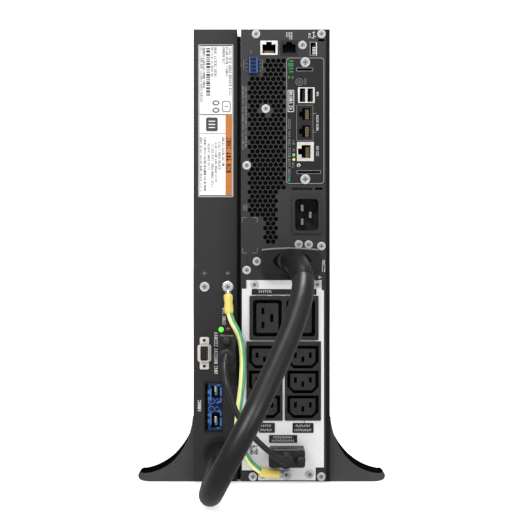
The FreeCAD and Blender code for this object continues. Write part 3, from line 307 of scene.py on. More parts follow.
def hollowed_with_painted_shade(name, face, reach, metallic=0.0, roughness=0.45, dark=0.002, proud=False):
    """A housing painted black as shade deeper than reach inside its openings, or, when proud, black where it
    stands out beyond it; its edges get a painted highlight.
    """
    shader = Shader(name, roughness, metallic=metallic, specular=0.3)
    base = shader.ramp(shader.noise(60, 5), shade(face, 0.84), shade(face, 1.14))
    # painted highlight along the edges
    base = shader.mix(shader.edge_highlight_mask(FINE_EDGE), base, shade(face, EDGE_SHINE))
    # by depth: black inside the openings as painted shade, or beyond the face when proud
    depth = shader.span(shader.axis("Object", "Y"), REAR - reach * MM, REAR - (reach - WELL_STEP) * MM)
    inside = shader.ramp(shader.noise(300, 2), grey(dark * 0.7), grey(dark * 1.5))
    layers = (inside, base) if proud else (base, inside)
    shader.colour(shader.mix(depth, *layers))
    return shader.skin((90, 5), roughness - 0.06, roughness + 0.1, (1500, 3), 0.00003, 0.45)


# Each maker's looks, by name, with the rest of its arguments.
RECIPES = {
    powder_coat: {
        # the cover's paint is a darker, duller copy of the panel paint: painted shade
        "ups_sheet": (0.0185,), "cover_sheet": (0.0075, 0.6, 0.06), "light_sheet": (0.6, 0.45, 0.4),
        "card_face": (0.0085, 0.42, 0.25),
    },
    shaded_sheet: {
        "pack_sheet": (0.0185, ((-65, 1), (-42, 0.9), (-27, 0.5), (-25.6, 0.28), (-23.5, 0.1))),
    },
    metal: {
        "galvanised": ((0.5, 0.51, 0.52), 0.4), "bright": ((0.86, 0.88, 0.89), 0.34),
        "tin": ((0.78, 0.76, 0.73), 0.34), "gold": ((0.23, 0.18, 0.1), 0.42),
        "aluminium": ((0.68, 0.69, 0.7), 0.35, (1, 0.05, 1)),
        # the second metal on the next line is a dark copy painted as shade in screw recesses and pin holes
        "copper_coil": ((0.55, 0.26, 0.12), 0.35, (1, 1, 12)), "recess_metal": ((0.16, 0.16, 0.17), 0.5),
    },
    moulded: {
        "black_plastic": (grey(0.012), 0.42), "outlet_plastic": (grey(0.016), 0.46),
        "dark_plastic": (grey(0.006), 0.5, 0.25), "bezel_plastic": (grey(0.016), 0.38, 0.45),
        "key_plastic": (grey(0.05), 0.35, 0.5), "case_plastic": (grey(0.1), 0.5),
        "blue_plastic": ((0.004, 0.03, 0.12), 0.45, 0.3), "blue_edge": ((0.032, 0.125, 0.34), 0.36, 0.45),
        "navy_plastic": ((0.001, 0.0035, 0.028), 0.55, 0.2), "board": ((0.012, 0.09, 0.035), 0.3, 0.5, 300),
        "screen": ((0.012, 0.02, 0.03), 0.1, 0.6, 200, 0.00001), "ridge": (grey(0.16), 0.3, 0.5),
        "label_paper": ((0.62, 0.62, 0.635), 0.5, 0.3, 900, 0.00001, 1.0),
        "zinc": ((0.38, 0.4, 0.41), 0.34, 0.6, 600, 0.00002, 1.15),
        "zinc_shade": ((0.27, 0.285, 0.295), 0.38, 0.7, 600, 0.00002, 1.2),
        "flange_tin": ((0.56, 0.53, 0.48), 0.36, 0.6, 700, 0.00002, 1.2),
        "yellow_sleeve": ((0.62, 0.5, 0.12), 0.4), "foam": (grey(0.0025), 0.9, 0.05, 900, 0.0003),
        "white_plastic": ((0.55, 0.55, 0.53), 0.4), "cream_plastic": ((0.6, 0.57, 0.45), 0.35, 0.5),
    },
    ink: {
        "white_ink": ((0.55, 0.55, 0.56),), "grey_ink": ((0.16, 0.16, 0.165),),
        "green_ink": ((0.02, 0.2, 0.055),), "outline_ink": ((0.17, 0.17, 0.175),),
        "plate_black": ((0.012, 0.012, 0.012), 0.5), "label_grey": ((0.2, 0.2, 0.21),),
        "label_rim": ((0.34, 0.34, 0.35),), "label_dark": ((0.05, 0.05, 0.052),),
        "label_brown": ((0.06, 0.02, 0.005),), "label_orange": ((0.42, 0.135, 0.02),),
    },
    lens: {
        "lamp_page": ((0.5, 0.62, 0.7), 0.7), "lamp_green": ((0.1, 0.62, 0.06), 1.2),
        "lamp_red": ((0.14, 0.02, 0.025), 0.0), "lamp_dim": ((0.02, 0.1, 0.04), 0.0),
        "lamp_brown": ((0.1, 0.06, 0.04), 0.0), "lamp_link": ((0.06, 0.42, 0.14), 0.3),
        "lamp_amber": ((0.62, 0.4, 0.06), 0.4),
    },
    jacket: {
        "rubber": (grey(0.004), 0.38, 0.5), "boot_rubber": (grey(0.0025), 0.52, 0.25),
        "thin_jacket": (grey(0.011), 0.38),
    },
    two_colour_jacket: {"ground_jacket": ((0.74, 0.73, 0.3), (0.045, 0.27, 0.12), (0.85, 0, 0.5))},
    foot_plastic_with_painted_shade: {"foot_plastic": (0.049, 0.0026)},
    hollowed_with_painted_shade: {
        "outlet_well": (grey(0.0175), 0.9), "inlet_well": (grey(0.017), 1.9, 0.0, 0.45, 0.026),
        "shield_well": ((0.62, 0.6, 0.57), 0.3, 0.7, 0.38), "usb_well": ((0.2, 0.2, 0.2), 0.2, 0.5, 0.38),
        "contact_metal": ((0.22, 0.22, 0.21), -6.5, 0.6, 0.4),
        "plug_body": (grey(0.0115), 24.2, 0.0, 0.45, 0.002, True),
        "serial_well": (grey(0.007), 0.3), "data_well": (grey(0.007), 1.5),
        "network_well": ((0.62, 0.6, 0.57), 1.9, 0.7, 0.38),
        "card_usb_well": ((0.6, 0.6, 0.59), 1.8, 0.7, 0.38),
        "data_shell_well": ((0.6, 0.57, 0.52), 4.9, 0.6, 0.4),
    },
}
MATERIALS = {name: make(name, *values) for make, looks in RECIPES.items() for name, values in looks.items()}

CAD_LOOKS = {
    "ups_sheet": ["ups_tray", "ups_rear_panel", "vent_grille"],
    "cover_sheet": ["ups_cover"],
    "pack_sheet": ["pack_tray", "pack_cover", "pack_rear_panel"],
    "light_sheet": ["outlet_panel"],
    "outlet_well": ["c19_outlet_block", "c13_outlet_blocks"],
    "inlet_well": ["c20_inlet"],
    "serial_well": ["serial_jack"],
    "data_well": ["card_data_jacks"],
    "shield_well": ["shielded_jack"],
    "usb_well": ["usb_port"],
    "network_well": ["card_network_jack"],
    "card_usb_well": ["card_usb_ports"],
    "data_shell_well": ["pack_data_port"],
    "dark_plastic": ["pack_dc_socket"],
    "black_plastic": ["pack_grommet", "comm_plugs"],
    "plug_body": ["dc_plug"],
    "case_plastic": ["fan_frames", "fan_rotor_upper", "fan_rotor_lower", "capacitors", "ups_battery_module",
                     "pack_cells"],
    "contact_metal": ["power_contacts"],
    "bright": ["ups_screws", "pack_screws", "card_screws"],
    "galvanised": ["card_bay", "stand_plates", "tie_brackets"],
    "blue_plastic": ["epo_plug", "pack_dc_insert"],
    "card_face": ["card_faceplate"],
    "board": ["card_board", "power_board"],
    "aluminium": ["heatsinks"],
    "copper_coil": ["power_magnetics"],
    "bezel_plastic": ["ups_bezel", "pack_bezel", "display_housing"],
    "screen": ["display_screen"],
    "key_plastic": ["power_button", "up_button", "down_button", "enter_button", "escape_button",
                    "card_reset_button"],
    "foot_plastic": ["rear_feet", "front_feet"],
    "yellow_sleeve": ["ground_lugs"],
}


def dress_frame():
    for look, names in CAD_LOOKS.items():
        for name in names:
            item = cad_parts[name]
            if not item.material_slots:
                item.data.materials.append(MATERIALS[look])
            for place in item.material_slots:
                place.material = MATERIALS[look]


dress_frame()


# ---- cords
# Each point: x, reach out of the rear panels, z, in millimetres.
DC_ROUTE = [
    (28.6, 34, 212.6), (32.5, 65, 212), (38.5, 97, 191), (26, 122, 153), (7, 148, 114), (-10, 168, 80),
    (-30.5, 170, 43), (-44, 142, 13.5), (-45, 96, 9.5), (-42, 49, 17.6), (-39.7, 4.6, 28.6),
]
COMM_ROUTE = [
    (-33, 38, 124.2), (-34.9, 47, 117), (-33.4, 55, 107), (-30, 59, 94.6), (-25.4, 59.5, 80),
    (-18.6, 58.5, 66), (-8, 56, 52.5), (4, 53, 40.5), (15, 47, 31), (22.8, 38, 26.4),
]
GROUND_ROUTE = [
    (-31.2, 7, 165.5), (-28.9, 10, 156), (-22.2, 15, 145.5), (-18.6, 18.5, 133), (-17.6, 22, 119.8),
    (-17.9, 24, 105.4), (-19.3, 26, 89.8), (-21.6, 26, 73.9), (-23, 25, 57.5), (-20.8, 21.5, 41.5),
    (-14.5, 16.5, 27.5), (-7.4, 12, 17.8), (0.9, 9, 12),
]


def route_spline(name, route):
    """A cord's centre line: a NURBS spline with the route's points as its control points."""
    data = bpy.data.curves.new(name, "CURVE")
    data.dimensions = "3D"
    data.resolution_u = 24
    spline = data.splines.new("NURBS")
    spline.points.add(len(route) - 1)
    for point, place in zip(spline.points, route):
        point.co = (*spot(*place), 1)
    spline.order_u = 3
    spline.use_endpoint_u = True
    return data


def cord_curve(name, route, diameter, look):
    data = route_spline(name, route)
    data.bevel_depth = diameter / 2
    data.bevel_resolution = 8
    data.materials.append(MATERIALS[look])
    item = add(name, data)
    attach(item, CHASSIS)
    return item


dc_cable = cord_curve("dc_cable_jacket", DC_ROUTE, 0.020, "rubber")
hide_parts("dc_cable")
comm_cable = cord_curve("comm_cable_jacket", COMM_ROUTE, 0.0054, "thin_jacket")
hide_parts("comm_cable")
ground_wire = cord_curve("ground_wire_jacket", GROUND_ROUTE, 0.0062, "ground_jacket")
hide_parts("ground_wire")

# ---- mesh tools
CORNER_STEPS = 5
# how far a printed mark stands out of its surface, and how thick it is
PRINT = 0.07
INK = 0.1


def rounded_rect(x, z, width, height, radius):
    """Corner-rounded rectangle centred on (x, z), as a list of (x, z)."""
    points = []
    for turn, (side, rise) in enumerate(((1, 1), (-1, 1), (-1, -1), (1, -1))):
        centre_x = x + side * (width / 2 - radius)
        centre_z = z + rise * (height / 2 - radius)
        for i in range(CORNER_STEPS + 1):
            angle = math.pi / 2 * (turn + i / CORNER_STEPS)
            points.append((centre_x + radius * math.cos(angle), centre_z + radius * math.sin(angle)))
    return points


def turns(sides):
    """The angles of a full turn's equal steps."""
    return [2 * math.pi * i / sides for i in range(sides)]


def circle(x, z, radius, sides=32, squash=1.0):
    return [(x + radius * math.cos(turn), z + radius * squash * math.sin(turn)) for turn in turns(sides)]


def scaled(profile, radius, reach):
    """A profile of (share of the radius, height) at its real size and place."""
    return [(radius * share, reach + height) for share, height in profile]


class Piece:
    """One mesh made of many shapes, in millimetres of the rear view; every shape takes one of its looks."""

    def __init__(self, name, slot, *looks, body=CHASSIS):
        self.name = name
        self.slot = slot
        self.looks = looks
        self.body = body
        self.build = bmesh.new()

    def skin(self, rings, look, cap_first=True, cap_last=True, smooth=True):
        """Quads between closed rings of points, each ring as long as the next."""
        rows = [[self.build.verts.new(point) for point in ring] for ring in rings]
        faces = []
        for row, following in zip(rows, rows[1:]):
            for i in range(len(row)):
                j = (i + 1) % len(row)
                faces.append(self.build.faces.new((row[i], row[j], following[j], following[i])))
        for face in faces:
            face.smooth = smooth
        if cap_first:
            faces.append(self.build.faces.new(rows[0]))
        if cap_last:
            faces.append(self.build.faces.new(rows[-1]))
        for face in faces:
            face.material_index = self.looks.index(look)

    def prism(self, points, reach, depth, look):
        """An outline extruded from "reach" outside the rear panels, "depth" inward."""
        front = [spot(x, reach, z) for x, z in points]
        back = [spot(x, reach - depth, z) for x, z in points]
        self.skin([front, back], look, smooth=False)

    def bar(self, x, z, width, height, reach, depth, look, radius=0.0):
        if radius:
            points = rounded_rect(x, z, width, height, radius)
        else:
            points = [(x + side * width / 2, z + rise * height / 2)
                      for side, rise in ((-1, -1), (1, -1), (1, 1), (-1, 1))]
        self.prism(points, reach, depth, look)

    def mark(self, x, z, width, height, reach, look):
        """A printed bar on a surface at "reach"."""
        self.bar(x, z, width, height, reach + PRINT, INK, look)

    def frame(self, outer, inner, reach, depth, look):
        """A flat band between two outlines with the same number of points."""
        rings = [[spot(x, level, z) for x, z in outline] for outline, level in (
            (outer, reach - depth), (outer, reach), (inner, reach), (inner, reach - depth))]
        self.skin(rings, look, False, False, smooth=False)

    def line_box(self, x, z, width, height, radius, line, inner_radius, reach, look):
        """A printed outline of a rounded rectangle, its line as wide as "line"."""
        inner = rounded_rect(x, z, width - 2 * line, height - 2 * line, inner_radius)
        self.frame(rounded_rect(x, z, width, height, radius), inner, reach + PRINT, INK, look)

    def lathe(self, x, z, profile, look, sides=32, lobes=0, depth=0.0, squash=1.0):
        """A profile of (radius, reach) turned about an axis out of the panel; the last ring is closed."""
        rings = []
        for radius, reach in profile:
            ring = []
            for turn in turns(sides):
                wide = radius * (1 + depth * math.cos(lobes * turn))
                ring.append(spot(x + wide * math.cos(turn), reach, z + wide * squash * math.sin(turn)))
            rings.append(ring)
        self.skin(rings, look, cap_first=False)

    def sleeve(self, points, profile, look, sides=24):
        """A tube round a path: profile gives (share of the path, radius) from its start to its end."""
        lengths = [0.0]
        for before, here in zip(points, points[1:]):
            lengths.append(lengths[-1] + (here - before).length)
        rings = []
        side = None
        for share, radius in profile:
            target = share * lengths[-1]
            i = max(1, bisect_left(lengths, target - 1e-9))
            span = lengths[i] - lengths[i - 1]
            middle = points[i - 1].lerp(points[i], (target - lengths[i - 1]) / span)
            along = (points[i] - points[i - 1]).normalized()
            if side is None:
                side = along.orthogonal().normalized()
            side = (side - along * side.dot(along)).normalized()
            across = along.cross(side)
            rings.append([middle + (side * math.cos(turn) + across * math.sin(turn)) * radius * MM
                          for turn in turns(sides)])
        self.skin(rings, look)

    def finish(self, bevel=0.0, replaces=None):
        bmesh.ops.recalc_face_normals(self.build, faces=self.build.faces)
        mesh = bpy.data.meshes.new(self.name)
        self.build.to_mesh(mesh)
        self.build.free()
        for look in self.looks:
            mesh.materials.append(MATERIALS[look])
        item = add(self.name, mesh)
        if bevel:
            soften(item, bevel)
        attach(item, self.body)
        if replaces:
            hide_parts(replaces)


def soften(item, width):
    """Round a mesh's sharp edges by "width" millimetres."""
    bevel = item.modifiers.new("soften", "BEVEL")
    bevel.width = width * MM
    bevel.segments = 2
    bevel.limit_method = "ANGLE"
    bevel.angle_limit = math.radians(40)
    bevel.harden_normals = False


def route_line(route):
    """Points along a cord's own spline, from its first point to its last."""
    item = bpy.data.objects.new("route", route_spline("route", route))
    mesh = bpy.data.meshes.new_from_object(item)
    points = [vertex.co.copy() for vertex in mesh.vertices]
    bpy.data.objects.remove(item)
    bpy.data.meshes.remove(mesh)
    return points


def stretch(points, end):
    """The part of a line from its start to a distance along it, in metres."""
    kept = [points[0]]
    so_far = 0.0
    for before, here in zip(points, points[1:]):
        step = (here - before).length
        if so_far < end:
            kept.append(before.lerp(here, min(1, (end - so_far) / step)))
        so_far += step
    return kept


# ---- printed marks
def text_line(piece, x, top, bottom, size, reach, look, seed, share=0.9):
    """A line of small marks reading downward, spaced like words; they are bars, not letters."""
    chance = random.Random(seed)
    z = top
    letters = 0
    word = chance.randint(3, 7)
    while z - size * 0.55 > bottom:
        length = size * chance.choice((0.36, 0.46, 0.56))
        kind = chance.randint(0, 2)
        stroke = size * 0.24
        middle = z - length / 2
        strokes = (
            ((x, middle, size * share, stroke), (x - size * 0.3, middle, stroke, length)),
            ((x, z - stroke / 2, size * share, stroke), (x, z - length + stroke / 2, size * share, stroke)),
            ((x + size * 0.32, middle, stroke, length), (x - size * 0.32, middle, stroke, length)),
        )[kind]
        for across, level, width, height in strokes:
            piece.mark(across, level, width, height, reach, look)
        z -= length + size * 0.15
        letters += 1
        if letters == word:
            letters = 0
            word = chance.randint(3, 7)
            z -= size * 0.45


def flat_line(piece, left, right, z, size, reach, look, seed):
    """A line of small marks reading across."""
    chance = random.Random(seed)
    x = left
    while x + size * 0.5 < right:
        length = size * chance.choice((0.4, 0.5, 0.62))
        stroke = size * 0.22
        piece.mark(x + stroke / 2, z, stroke, size, reach, look)
        piece.mark(x + length / 2, z + size * chance.choice((-0.38, 0, 0.38)), length, stroke, reach, look)
        x += length + size * 0.22


def corner_marks(piece, left, right, low, high, arm, stroke, look):
    for x, side in ((left, 1), (right, -1)):
        for z, rise in ((low, 1), (high, -1)):
            piece.mark(x + side * arm / 2, z, arm, stroke, 0, look)
            piece.mark(x, z + rise * arm / 2, stroke, arm, 0, look)


def side_arrow(piece, x, z, size, look):
    """An arrow of a shaft and two barbs, with its head at the left."""
    piece.mark(x, z, size, size * 0.2, 0, look)
    for side in (-1, 1):
        piece.prism([(x - size * 0.5, z), (x - size * 0.05, z + side * size * 0.42),
                     (x + size * 0.1, z + side * size * 0.36), (x - size * 0.25, z)], PRINT, INK, look)


def panel_marks():
    """Print beside the ports and vent of the dark rear panel, and the panel's seams."""
    marks = Piece("panel_marks", "dark_panel", "grey_ink", "white_ink")
    for x, top, bottom, size, look in (
            (-10.3, 413.9, 409.5, 2.0, "grey_ink"), (24.5, 431.2, 424.8, 2.4, "white_ink"),
            (27.9, 431.2, 423.6, 3.0, "white_ink"), (45.7, 430.2, 425.4, 2.0, "white_ink"),
            (-17.9, 379.6, 318, 2.0, "grey_ink"), (-15.2, 379.6, 320, 2.0, "grey_ink"),
            (-17, 266.5, 259, 2.2, "grey_ink"), (-14.7, 266.5, 260, 2.0, "grey_ink"),
            (59.1, 213.6, 201, 3.2, "white_ink")):
        text_line(marks, x, top, bottom, size, 0, look, round(x * 10 + top))
    corner_marks(marks, -18.4, -4.2, 220.2, 254.1, 4.6, 0.55, "grey_ink")
    # beside the emergency-off plug: a short bar in place of each pin number, and two side lines
    for z in (405, 401.4, 397.8, 394.3):
        for x in (-14.6, -1.6):
            marks.mark(x, z, 2.2, 0.45, 0, "grey_ink")
    for x in (-17.2, 0.6):
        marks.mark(x, 400, 0.5, 9, 0, "grey_ink")
    # above the USB port: a stem, a dot and two short bars
    for x, z, width, height in ((49.6, 427.8, 0.6, 5.4), (50.8, 427.2, 2.2, 0.6), (48.5, 426, 2, 0.6)):
        marks.mark(x, z, width, height, 0, "white_ink")
    marks.prism(circle(49.6, 430.9, 0.9, 12), PRINT, INK, "white_ink")
    side_arrow(marks, 55.5, 197, 3.6, "white_ink")
    marks.finish()

    seams = Piece("panel_seams", "dark_panel", "dark_plastic")
    for x, z, width, height in ((38.4, 281.6, 20, 0.9), (45.4, 232.2, 30, 0.35), (20.2, 232.6, 13, 0.35),
                                (54.2, 326, 0.3, 190), (60.6, 230, 0.35, 380), (-13.6, 212, 0.3, 18)):
        seams.bar(x, z, width, height, 0.05, INK, "dark_plastic")
    seams.finish()


def pack_marks():
    marks = Piece("pack_marks", "pack_panel", "white_ink", "grey_ink")
    for x, top, bottom, size in ((-36, 167.6, 150.8, 3.3), (-43.7, 144.6, 103, 3.5),
                                 (-59.5, 79.6, 65.8, 3.5)):
        text_line(marks, x, top, bottom, size, 0, "white_ink", round(top))
    for x in (-54.7, -32.2):
        side_arrow(marks, x, 200.8, 4.2, "grey_ink")
    marks.finish()


LABEL_X = -43.9
LABEL_Z = 346.6
# how far the label's paper, its print and the outlet plates stand out of the rear panels
LABEL_PAPER = 0.22
LABEL_TOP = 0.26
PLATE = 1.0


def pack_label():
    """A plain information label: a grey rim, ruled white fields, an orange band and bars for its print."""
    label = Piece("pack_label", "light_panel", "label_rim", "label_paper", "label_grey", "label_dark",
                  "label_orange", "label_brown")
    label.prism(rounded_rect(LABEL_X, LABEL_Z, 33.5, 146, 1.2), 0.12, 0.14, "label_rim")
    label.prism(rounded_rect(LABEL_X, LABEL_Z, 30.8, 143, 0.5), 0.2, INK, "label_paper")
    for x, z, width, height, look in (
            (LABEL_X, 418.4, 30.8, 1.1, "label_dark"), (LABEL_X, 352.4, 30.8, 0.8, "label_dark"),
            (LABEL_X, 275, 30.8, 0.9, "label_dark"), (-46.9, 334.3, 24.8, 0.6, "label_grey"),
            (-31.5, 313.8, 6.1, 76.4, "label_orange")):
        label.bar(x, z, width, height, LABEL_TOP, INK, look)
    text_line(label, -31.5, 330.5, 296.3, 4.5, LABEL_PAPER, "label_brown", 3, 1.0)
    chance = random.Random(12)
    z = 416
    while z > 371:
        thick = chance.choice((0.9, 1.3, 2.2))
        label.bar(-51.1, z - thick / 2, 3.7, thick, LABEL_TOP, INK, "label_dark")
        z -= thick + chance.choice((0.5, 0.8, 1.2))
    for x, top, bottom, size, look in (
            (-57.5, 416.7, 364, 2.3, "label_grey"), (-55, 416.7, 376, 2.0, "label_dark"),
            (-47.3, 416.7, 387.2, 2.0, "label_grey"), (-44.2, 416.7, 387.2, 2.5, "label_grey"),
            (-36.3, 416.7, 399, 2.4, "label_grey"), (-33.2, 416.7, 386.9, 2.5, "label_grey"),
            (-30.1, 416.7, 368.5, 2.6, "label_grey"),
            (-57.9, 330.8, 277.5, 2.4, "label_grey"), (-54.2, 330.8, 279.3, 2.3, "label_dark"),
            (-50.6, 324.7, 298, 2.1, "label_grey"), (-47, 324.7, 282.3, 2.3, "label_grey"),
            (-43.6, 326.5, 287.2, 2.3, "label_grey"), (-40.3, 326.5, 298.7, 2.3, "label_grey"),
            (-36.7, 330.8, 300.2, 2.3, "label_dark")):
        text_line(label, x, top, bottom, size, LABEL_PAPER, look, round(top - x * 7), 1.0)
    # plain shapes: two rings, a box with a bar, a dark square with three lines
    for z in (363.6, 356.6):
        label.frame(circle(-43.7, z, 3.4, 24, 0.72), circle(-43.7, z, 2.2, 24, 0.6), LABEL_TOP, INK,
                    "label_dark")
    label.frame(rounded_rect(-33.7, 360.2, 8.4, 11, 2), rounded_rect(-33.7, 360.2, 6.2, 8.8, 1.4), LABEL_TOP,
                INK, "label_grey")
    label.bar(-33.7, 360.2, 3.4, 1.2, LABEL_TOP, INK, "label_grey")
    label.prism(rounded_rect(-47.6, 343.1, 11.2, 13.2, 1.8), LABEL_TOP, INK, "label_dark")
    for rise in (-3, 0, 3):
        label.bar(-47.6, 343.1 + rise, 6.2, 0.9, LABEL_TOP + 0.05, INK, "label_paper")
    label.finish()


def outlet_labels():
    """Black plates with rows of plain marks on the light outlet panel, and a printed square of dots."""
    plates = Piece("outlet_labels", "light_panel", "plate_black", "white_ink", "label_dark")
    plates.bar(21.4, 183, 62, 5.4, PLATE, 0.25, "plate_black")
    flat_line(plates, -2.6, 11, 183.4, 2.4, PLATE, "white_ink", 5)
    for x, width in ((-0.5, 12), (14, 8), (27, 10), (44, 10)):
        plates.bar(x, 179.5, width, 0.35, PLATE + 0.05, 0.25, "label_dark")
    for x, z, width, height, rows in ((5, 53.2, 15.4, 9.6, 2), (39.5, 53.1, 20.2, 9.6, 2),
                                      (20.5, 42.6, 27, 7.6, 2), (24, 33.7, 32.5, 4.6, 1)):
        plates.prism(rounded_rect(x, z, width, height, 0.9), PLATE, 0.25, "plate_black")
        for row in range(rows):
            level = z + (row - (rows - 1) / 2) * -height * 0.42
            half = width * (0.4 - 0.06 * (row == 0 and rows == 2))
            flat_line(plates, x - half, x + half, level, 2.1, PLATE, "white_ink", round(x + 9 * row))
    plates.bar(41, 58.9, 0.6, 2.2, PLATE, 0.25, "label_dark")
    chance = random.Random(8)
    for i in range(8):
        for j in range(9):
            if chance.random() < 0.52:
                plates.bar(-11 + i * 0.95, 28.2 + j * 0.95, 0.9, 0.9, 0.87, INK, "label_dark")
    for x in (-14.1, 56.6):
        plates.bar(x, 190, 0.3, 6, 0.9, INK, "label_dark")
    plates.finish()


CARD_FACE = 1.5


def card_marks():
    """The card's border, rows of plain marks, and the rings and boxes round its ports."""
    marks = Piece("card_marks", "card_face", "grey_ink", "white_ink", "green_ink", "outline_ink", body=CARD)
    marks.line_box(41.6, 346.4, 36.4, 120.6, 3.2, 0.8, 2.6, CARD_FACE, "outline_ink")
    text_line(marks, 27.7, 404.7, 385.8, 5.4, CARD_FACE, "green_ink", 4)
    marks.line_box(27.9, 365.3, 6, 21, 0.6, 0.55, 0.4, CARD_FACE, "white_ink")
    text_line(marks, 27.9, 374.4, 356.4, 3.2, CARD_FACE, "white_ink", 9)
    for x, top, bottom, size, look in (
            (26.4, 348, 292, 2.6, "grey_ink"), (53.3, 373.8, 367.3, 2.3, "white_ink"),
            (53.2, 352, 336.6, 2.2, "white_ink"), (53.3, 322.2, 311.8, 2.2, "white_ink"),
            (41.7, 386.9, 379.4, 2.0, "grey_ink"), (30, 306.2, 300.8, 2.0, "grey_ink"),
            (30.3, 328, 324.9, 1.8, "grey_ink")):
        text_line(marks, x, top, bottom, size, CARD_FACE, look, round(x * 5 + top))
    marks.mark(26.2, 290, 1.8, 3.4, CARD_FACE, "green_ink")
    for z, rise in ((353.4, -1), (335.4, 1)):
        marks.mark(50.9, z, 3, 0.4, CARD_FACE, "grey_ink")
        marks.mark(49.4, z + rise, 0.4, 2.2, CARD_FACE, "grey_ink")
    for x, z, outer, inner, sides, look in ((35.9, 383.4, 3.5, 3.0, 32, "outline_ink"),
                                            (35.3, 304.1, 1.8, 0.9, 6, "white_ink")):
        marks.frame(circle(x, z, outer, sides), circle(x, z, inner, sides), CARD_FACE + PRINT, INK, look)
    marks.line_box(41.15, 344.5, 16, 34.2, 0.8, 0.5, 0.5, CARD_FACE, "grey_ink")
    for x, z, width in ((41, 395.4, 16), (45, 297.4, 23)):
        marks.line_box(x, z, width, 3.4, 0.4, 0.5, 0.3, CARD_FACE, "grey_ink")
    marks.finish()


# ---- fasteners and lamps
# (x, z, reach of the surface under the head)
UPS_SCREWS = [
    (-5.4, 429.4, 0), (57.1, 429.4, 0), (39, 418.8, 0), (3.9, 358, 0), (-14.3, 303.9, 0), (35.4, 228.4, 0),
    (44.9, 228.2, 0), (57, 226.8, 0), (-4.6, 212.2, 0), (-14.3, 203.9, 0), (-6.7, 189.9, 0.8),
    (53, 190.1, 0.8), (-8.4, 6.6, 0), (0.9, 8.3, 0.8), (46, 8.7, 0.8), (56.9, 6.6, 0), (23.7, 8.7, 1.9),
]
PACK_SCREWS = [(-54.5, 187.9, 0), (-32.4, 187.9, 1.1)]
CARD_SCREWS = [(41.6, 402.2, CARD_FACE), (41.6, 290.6, CARD_FACE)]
SMALL_HEAD = 4.1
LARGE_HEAD = 4.7
# (share of the head's radius, height above its surface)
SCREW_RIM = ((1, 0), (1, 1.0), (0.93, 1.6), (0.8, 1.9), (0.64, 1.9), (0.6, 1.6))
SCREW_DISH = ((0.6, 1.62), (0.56, 1.66), (0.4, 1.7))
SCREW_CROSS = ((0.31, 1.75), (0.29, 1.8), (0.2, 1.8))
LAMP_DOME = ((1, -1.2), (1, 0.1), (0.86, 0.5), (0.55, 0.85), (0.2, 0.98))


def screw_heads(name, spots, radius, body, replaces, slotted=False):
    """Flanged heads: a bright rim round a dish in painted shade, with a cross recess or two wide slots
    painted darker still as shade.
    """
    heads = Piece(name, "bright_metal", "zinc", "zinc_shade", "recess_metal", body=body)
    for x, z, reach in spots:
        heads.lathe(x, z, scaled(SCREW_RIM, radius, reach), "zinc", 40)
        heads.lathe(x, z, scaled(SCREW_DISH, radius, reach), "zinc_shade", 40)
        if slotted:
            for width, height in ((radius * 1.1, radius * 0.2), (radius * 0.2, radius * 1.1)):
                heads.bar(x, z, width, height, reach + 1.95, 0.4, "recess_metal")
        else:
            heads.lathe(x, z, scaled(SCREW_CROSS, radius, reach), "recess_metal", 48, lobes=4, depth=0.46)
    heads.finish(replaces=replaces)


LAMPS = [
    ("lamp_pack_power", -38.7, 147, 0, 2.6, "lamp_green", CHASSIS, "pack_leds"),
    ("lamp_pack_fault", -31.8, 147, 0, 2.6, "lamp_red", CHASSIS, "pack_leds"),
    ("lamp_card_link", 30.7, 324.2, CARD_FACE, 1.5, "lamp_dim", CARD, "card_leds"),
    ("lamp_card_status", 30.7, 318.4, CARD_FACE, 1.5, "lamp_brown", CARD, "card_leds"),
    ("lamp_card_active", 30.7, 313.7, CARD_FACE, 1.5, "lamp_link", CARD, "card_leds"),
    ("lamp_card_speed", 30.7, 309.4, CARD_FACE, 1.5, "lamp_amber", CARD, "card_leds"),
]


def lamps():
    """Domed lenses, each in a thin dark ring."""
    for name, x, z, reach, radius, look, body, replaces in LAMPS:
        lamp = Piece(name, "lamp", look, "dark_plastic", body=body)
        lamp.lathe(x, z, scaled(LAMP_DOME, radius, reach), look, 24)
        lamp.frame(circle(x, z, radius * 1.22, 24), circle(x, z, radius * 0.98, 24), reach + 0.15, 0.3,
                   "dark_plastic")
        lamp.finish(replaces=replaces)


# ---- jacks and sockets
def jack_contacts():
    """Gold contacts, tongues and latches in the jacks and USB ports of the panel and the card."""
    gold = Piece("jack_contacts", "brass", "gold", "white_plastic", "cream_plastic")
    for i in range(8):
        gold.bar(2.9 + i * 1.17, 412.2, 0.75, 3, -1.6, 3, "gold")
    for side in (-1, 1):
        gold.bar(7 + side * 6.4, 421.6, 2.6, 2.2, 1.0, 0.6, "cream_plastic")
    gold.bar(52.4, 415.3, 0.7, 12.6, 0.7, 0.5, "white_plastic")
    for i in range(5):
        gold.bar(50.2, 410.6 + i * 1.5, 3.2, 0.6, 0.1, 3, "white_plastic")
    gold.finish()

    card_gold = Piece("card_contacts", "brass", "gold", "dark_plastic", "tin", body=CARD)
    for level in (352.75, 336.25):
        for i in range(6):
            card_gold.bar(43.4, level - 4 + i * 1.6, 3.6, 1.15, -0.8, 3, "gold")
    for i in range(8):
        card_gold.bar(43.8, 312.1 + i * 1.25, 3.8, 0.85, -0.6, 3, "gold")
    for z in (324.6, 309.4):
        card_gold.bar(35.9, z, 2.4, 2.6, 2.6, 0.6, "tin")
    for side in (-1, 1):
        card_gold.bar(42.6 + side * 3.7 + 1.1, 370.8, 1.9, 10.8, -0.3, 4, "dark_plastic")
    card_gold.finish()


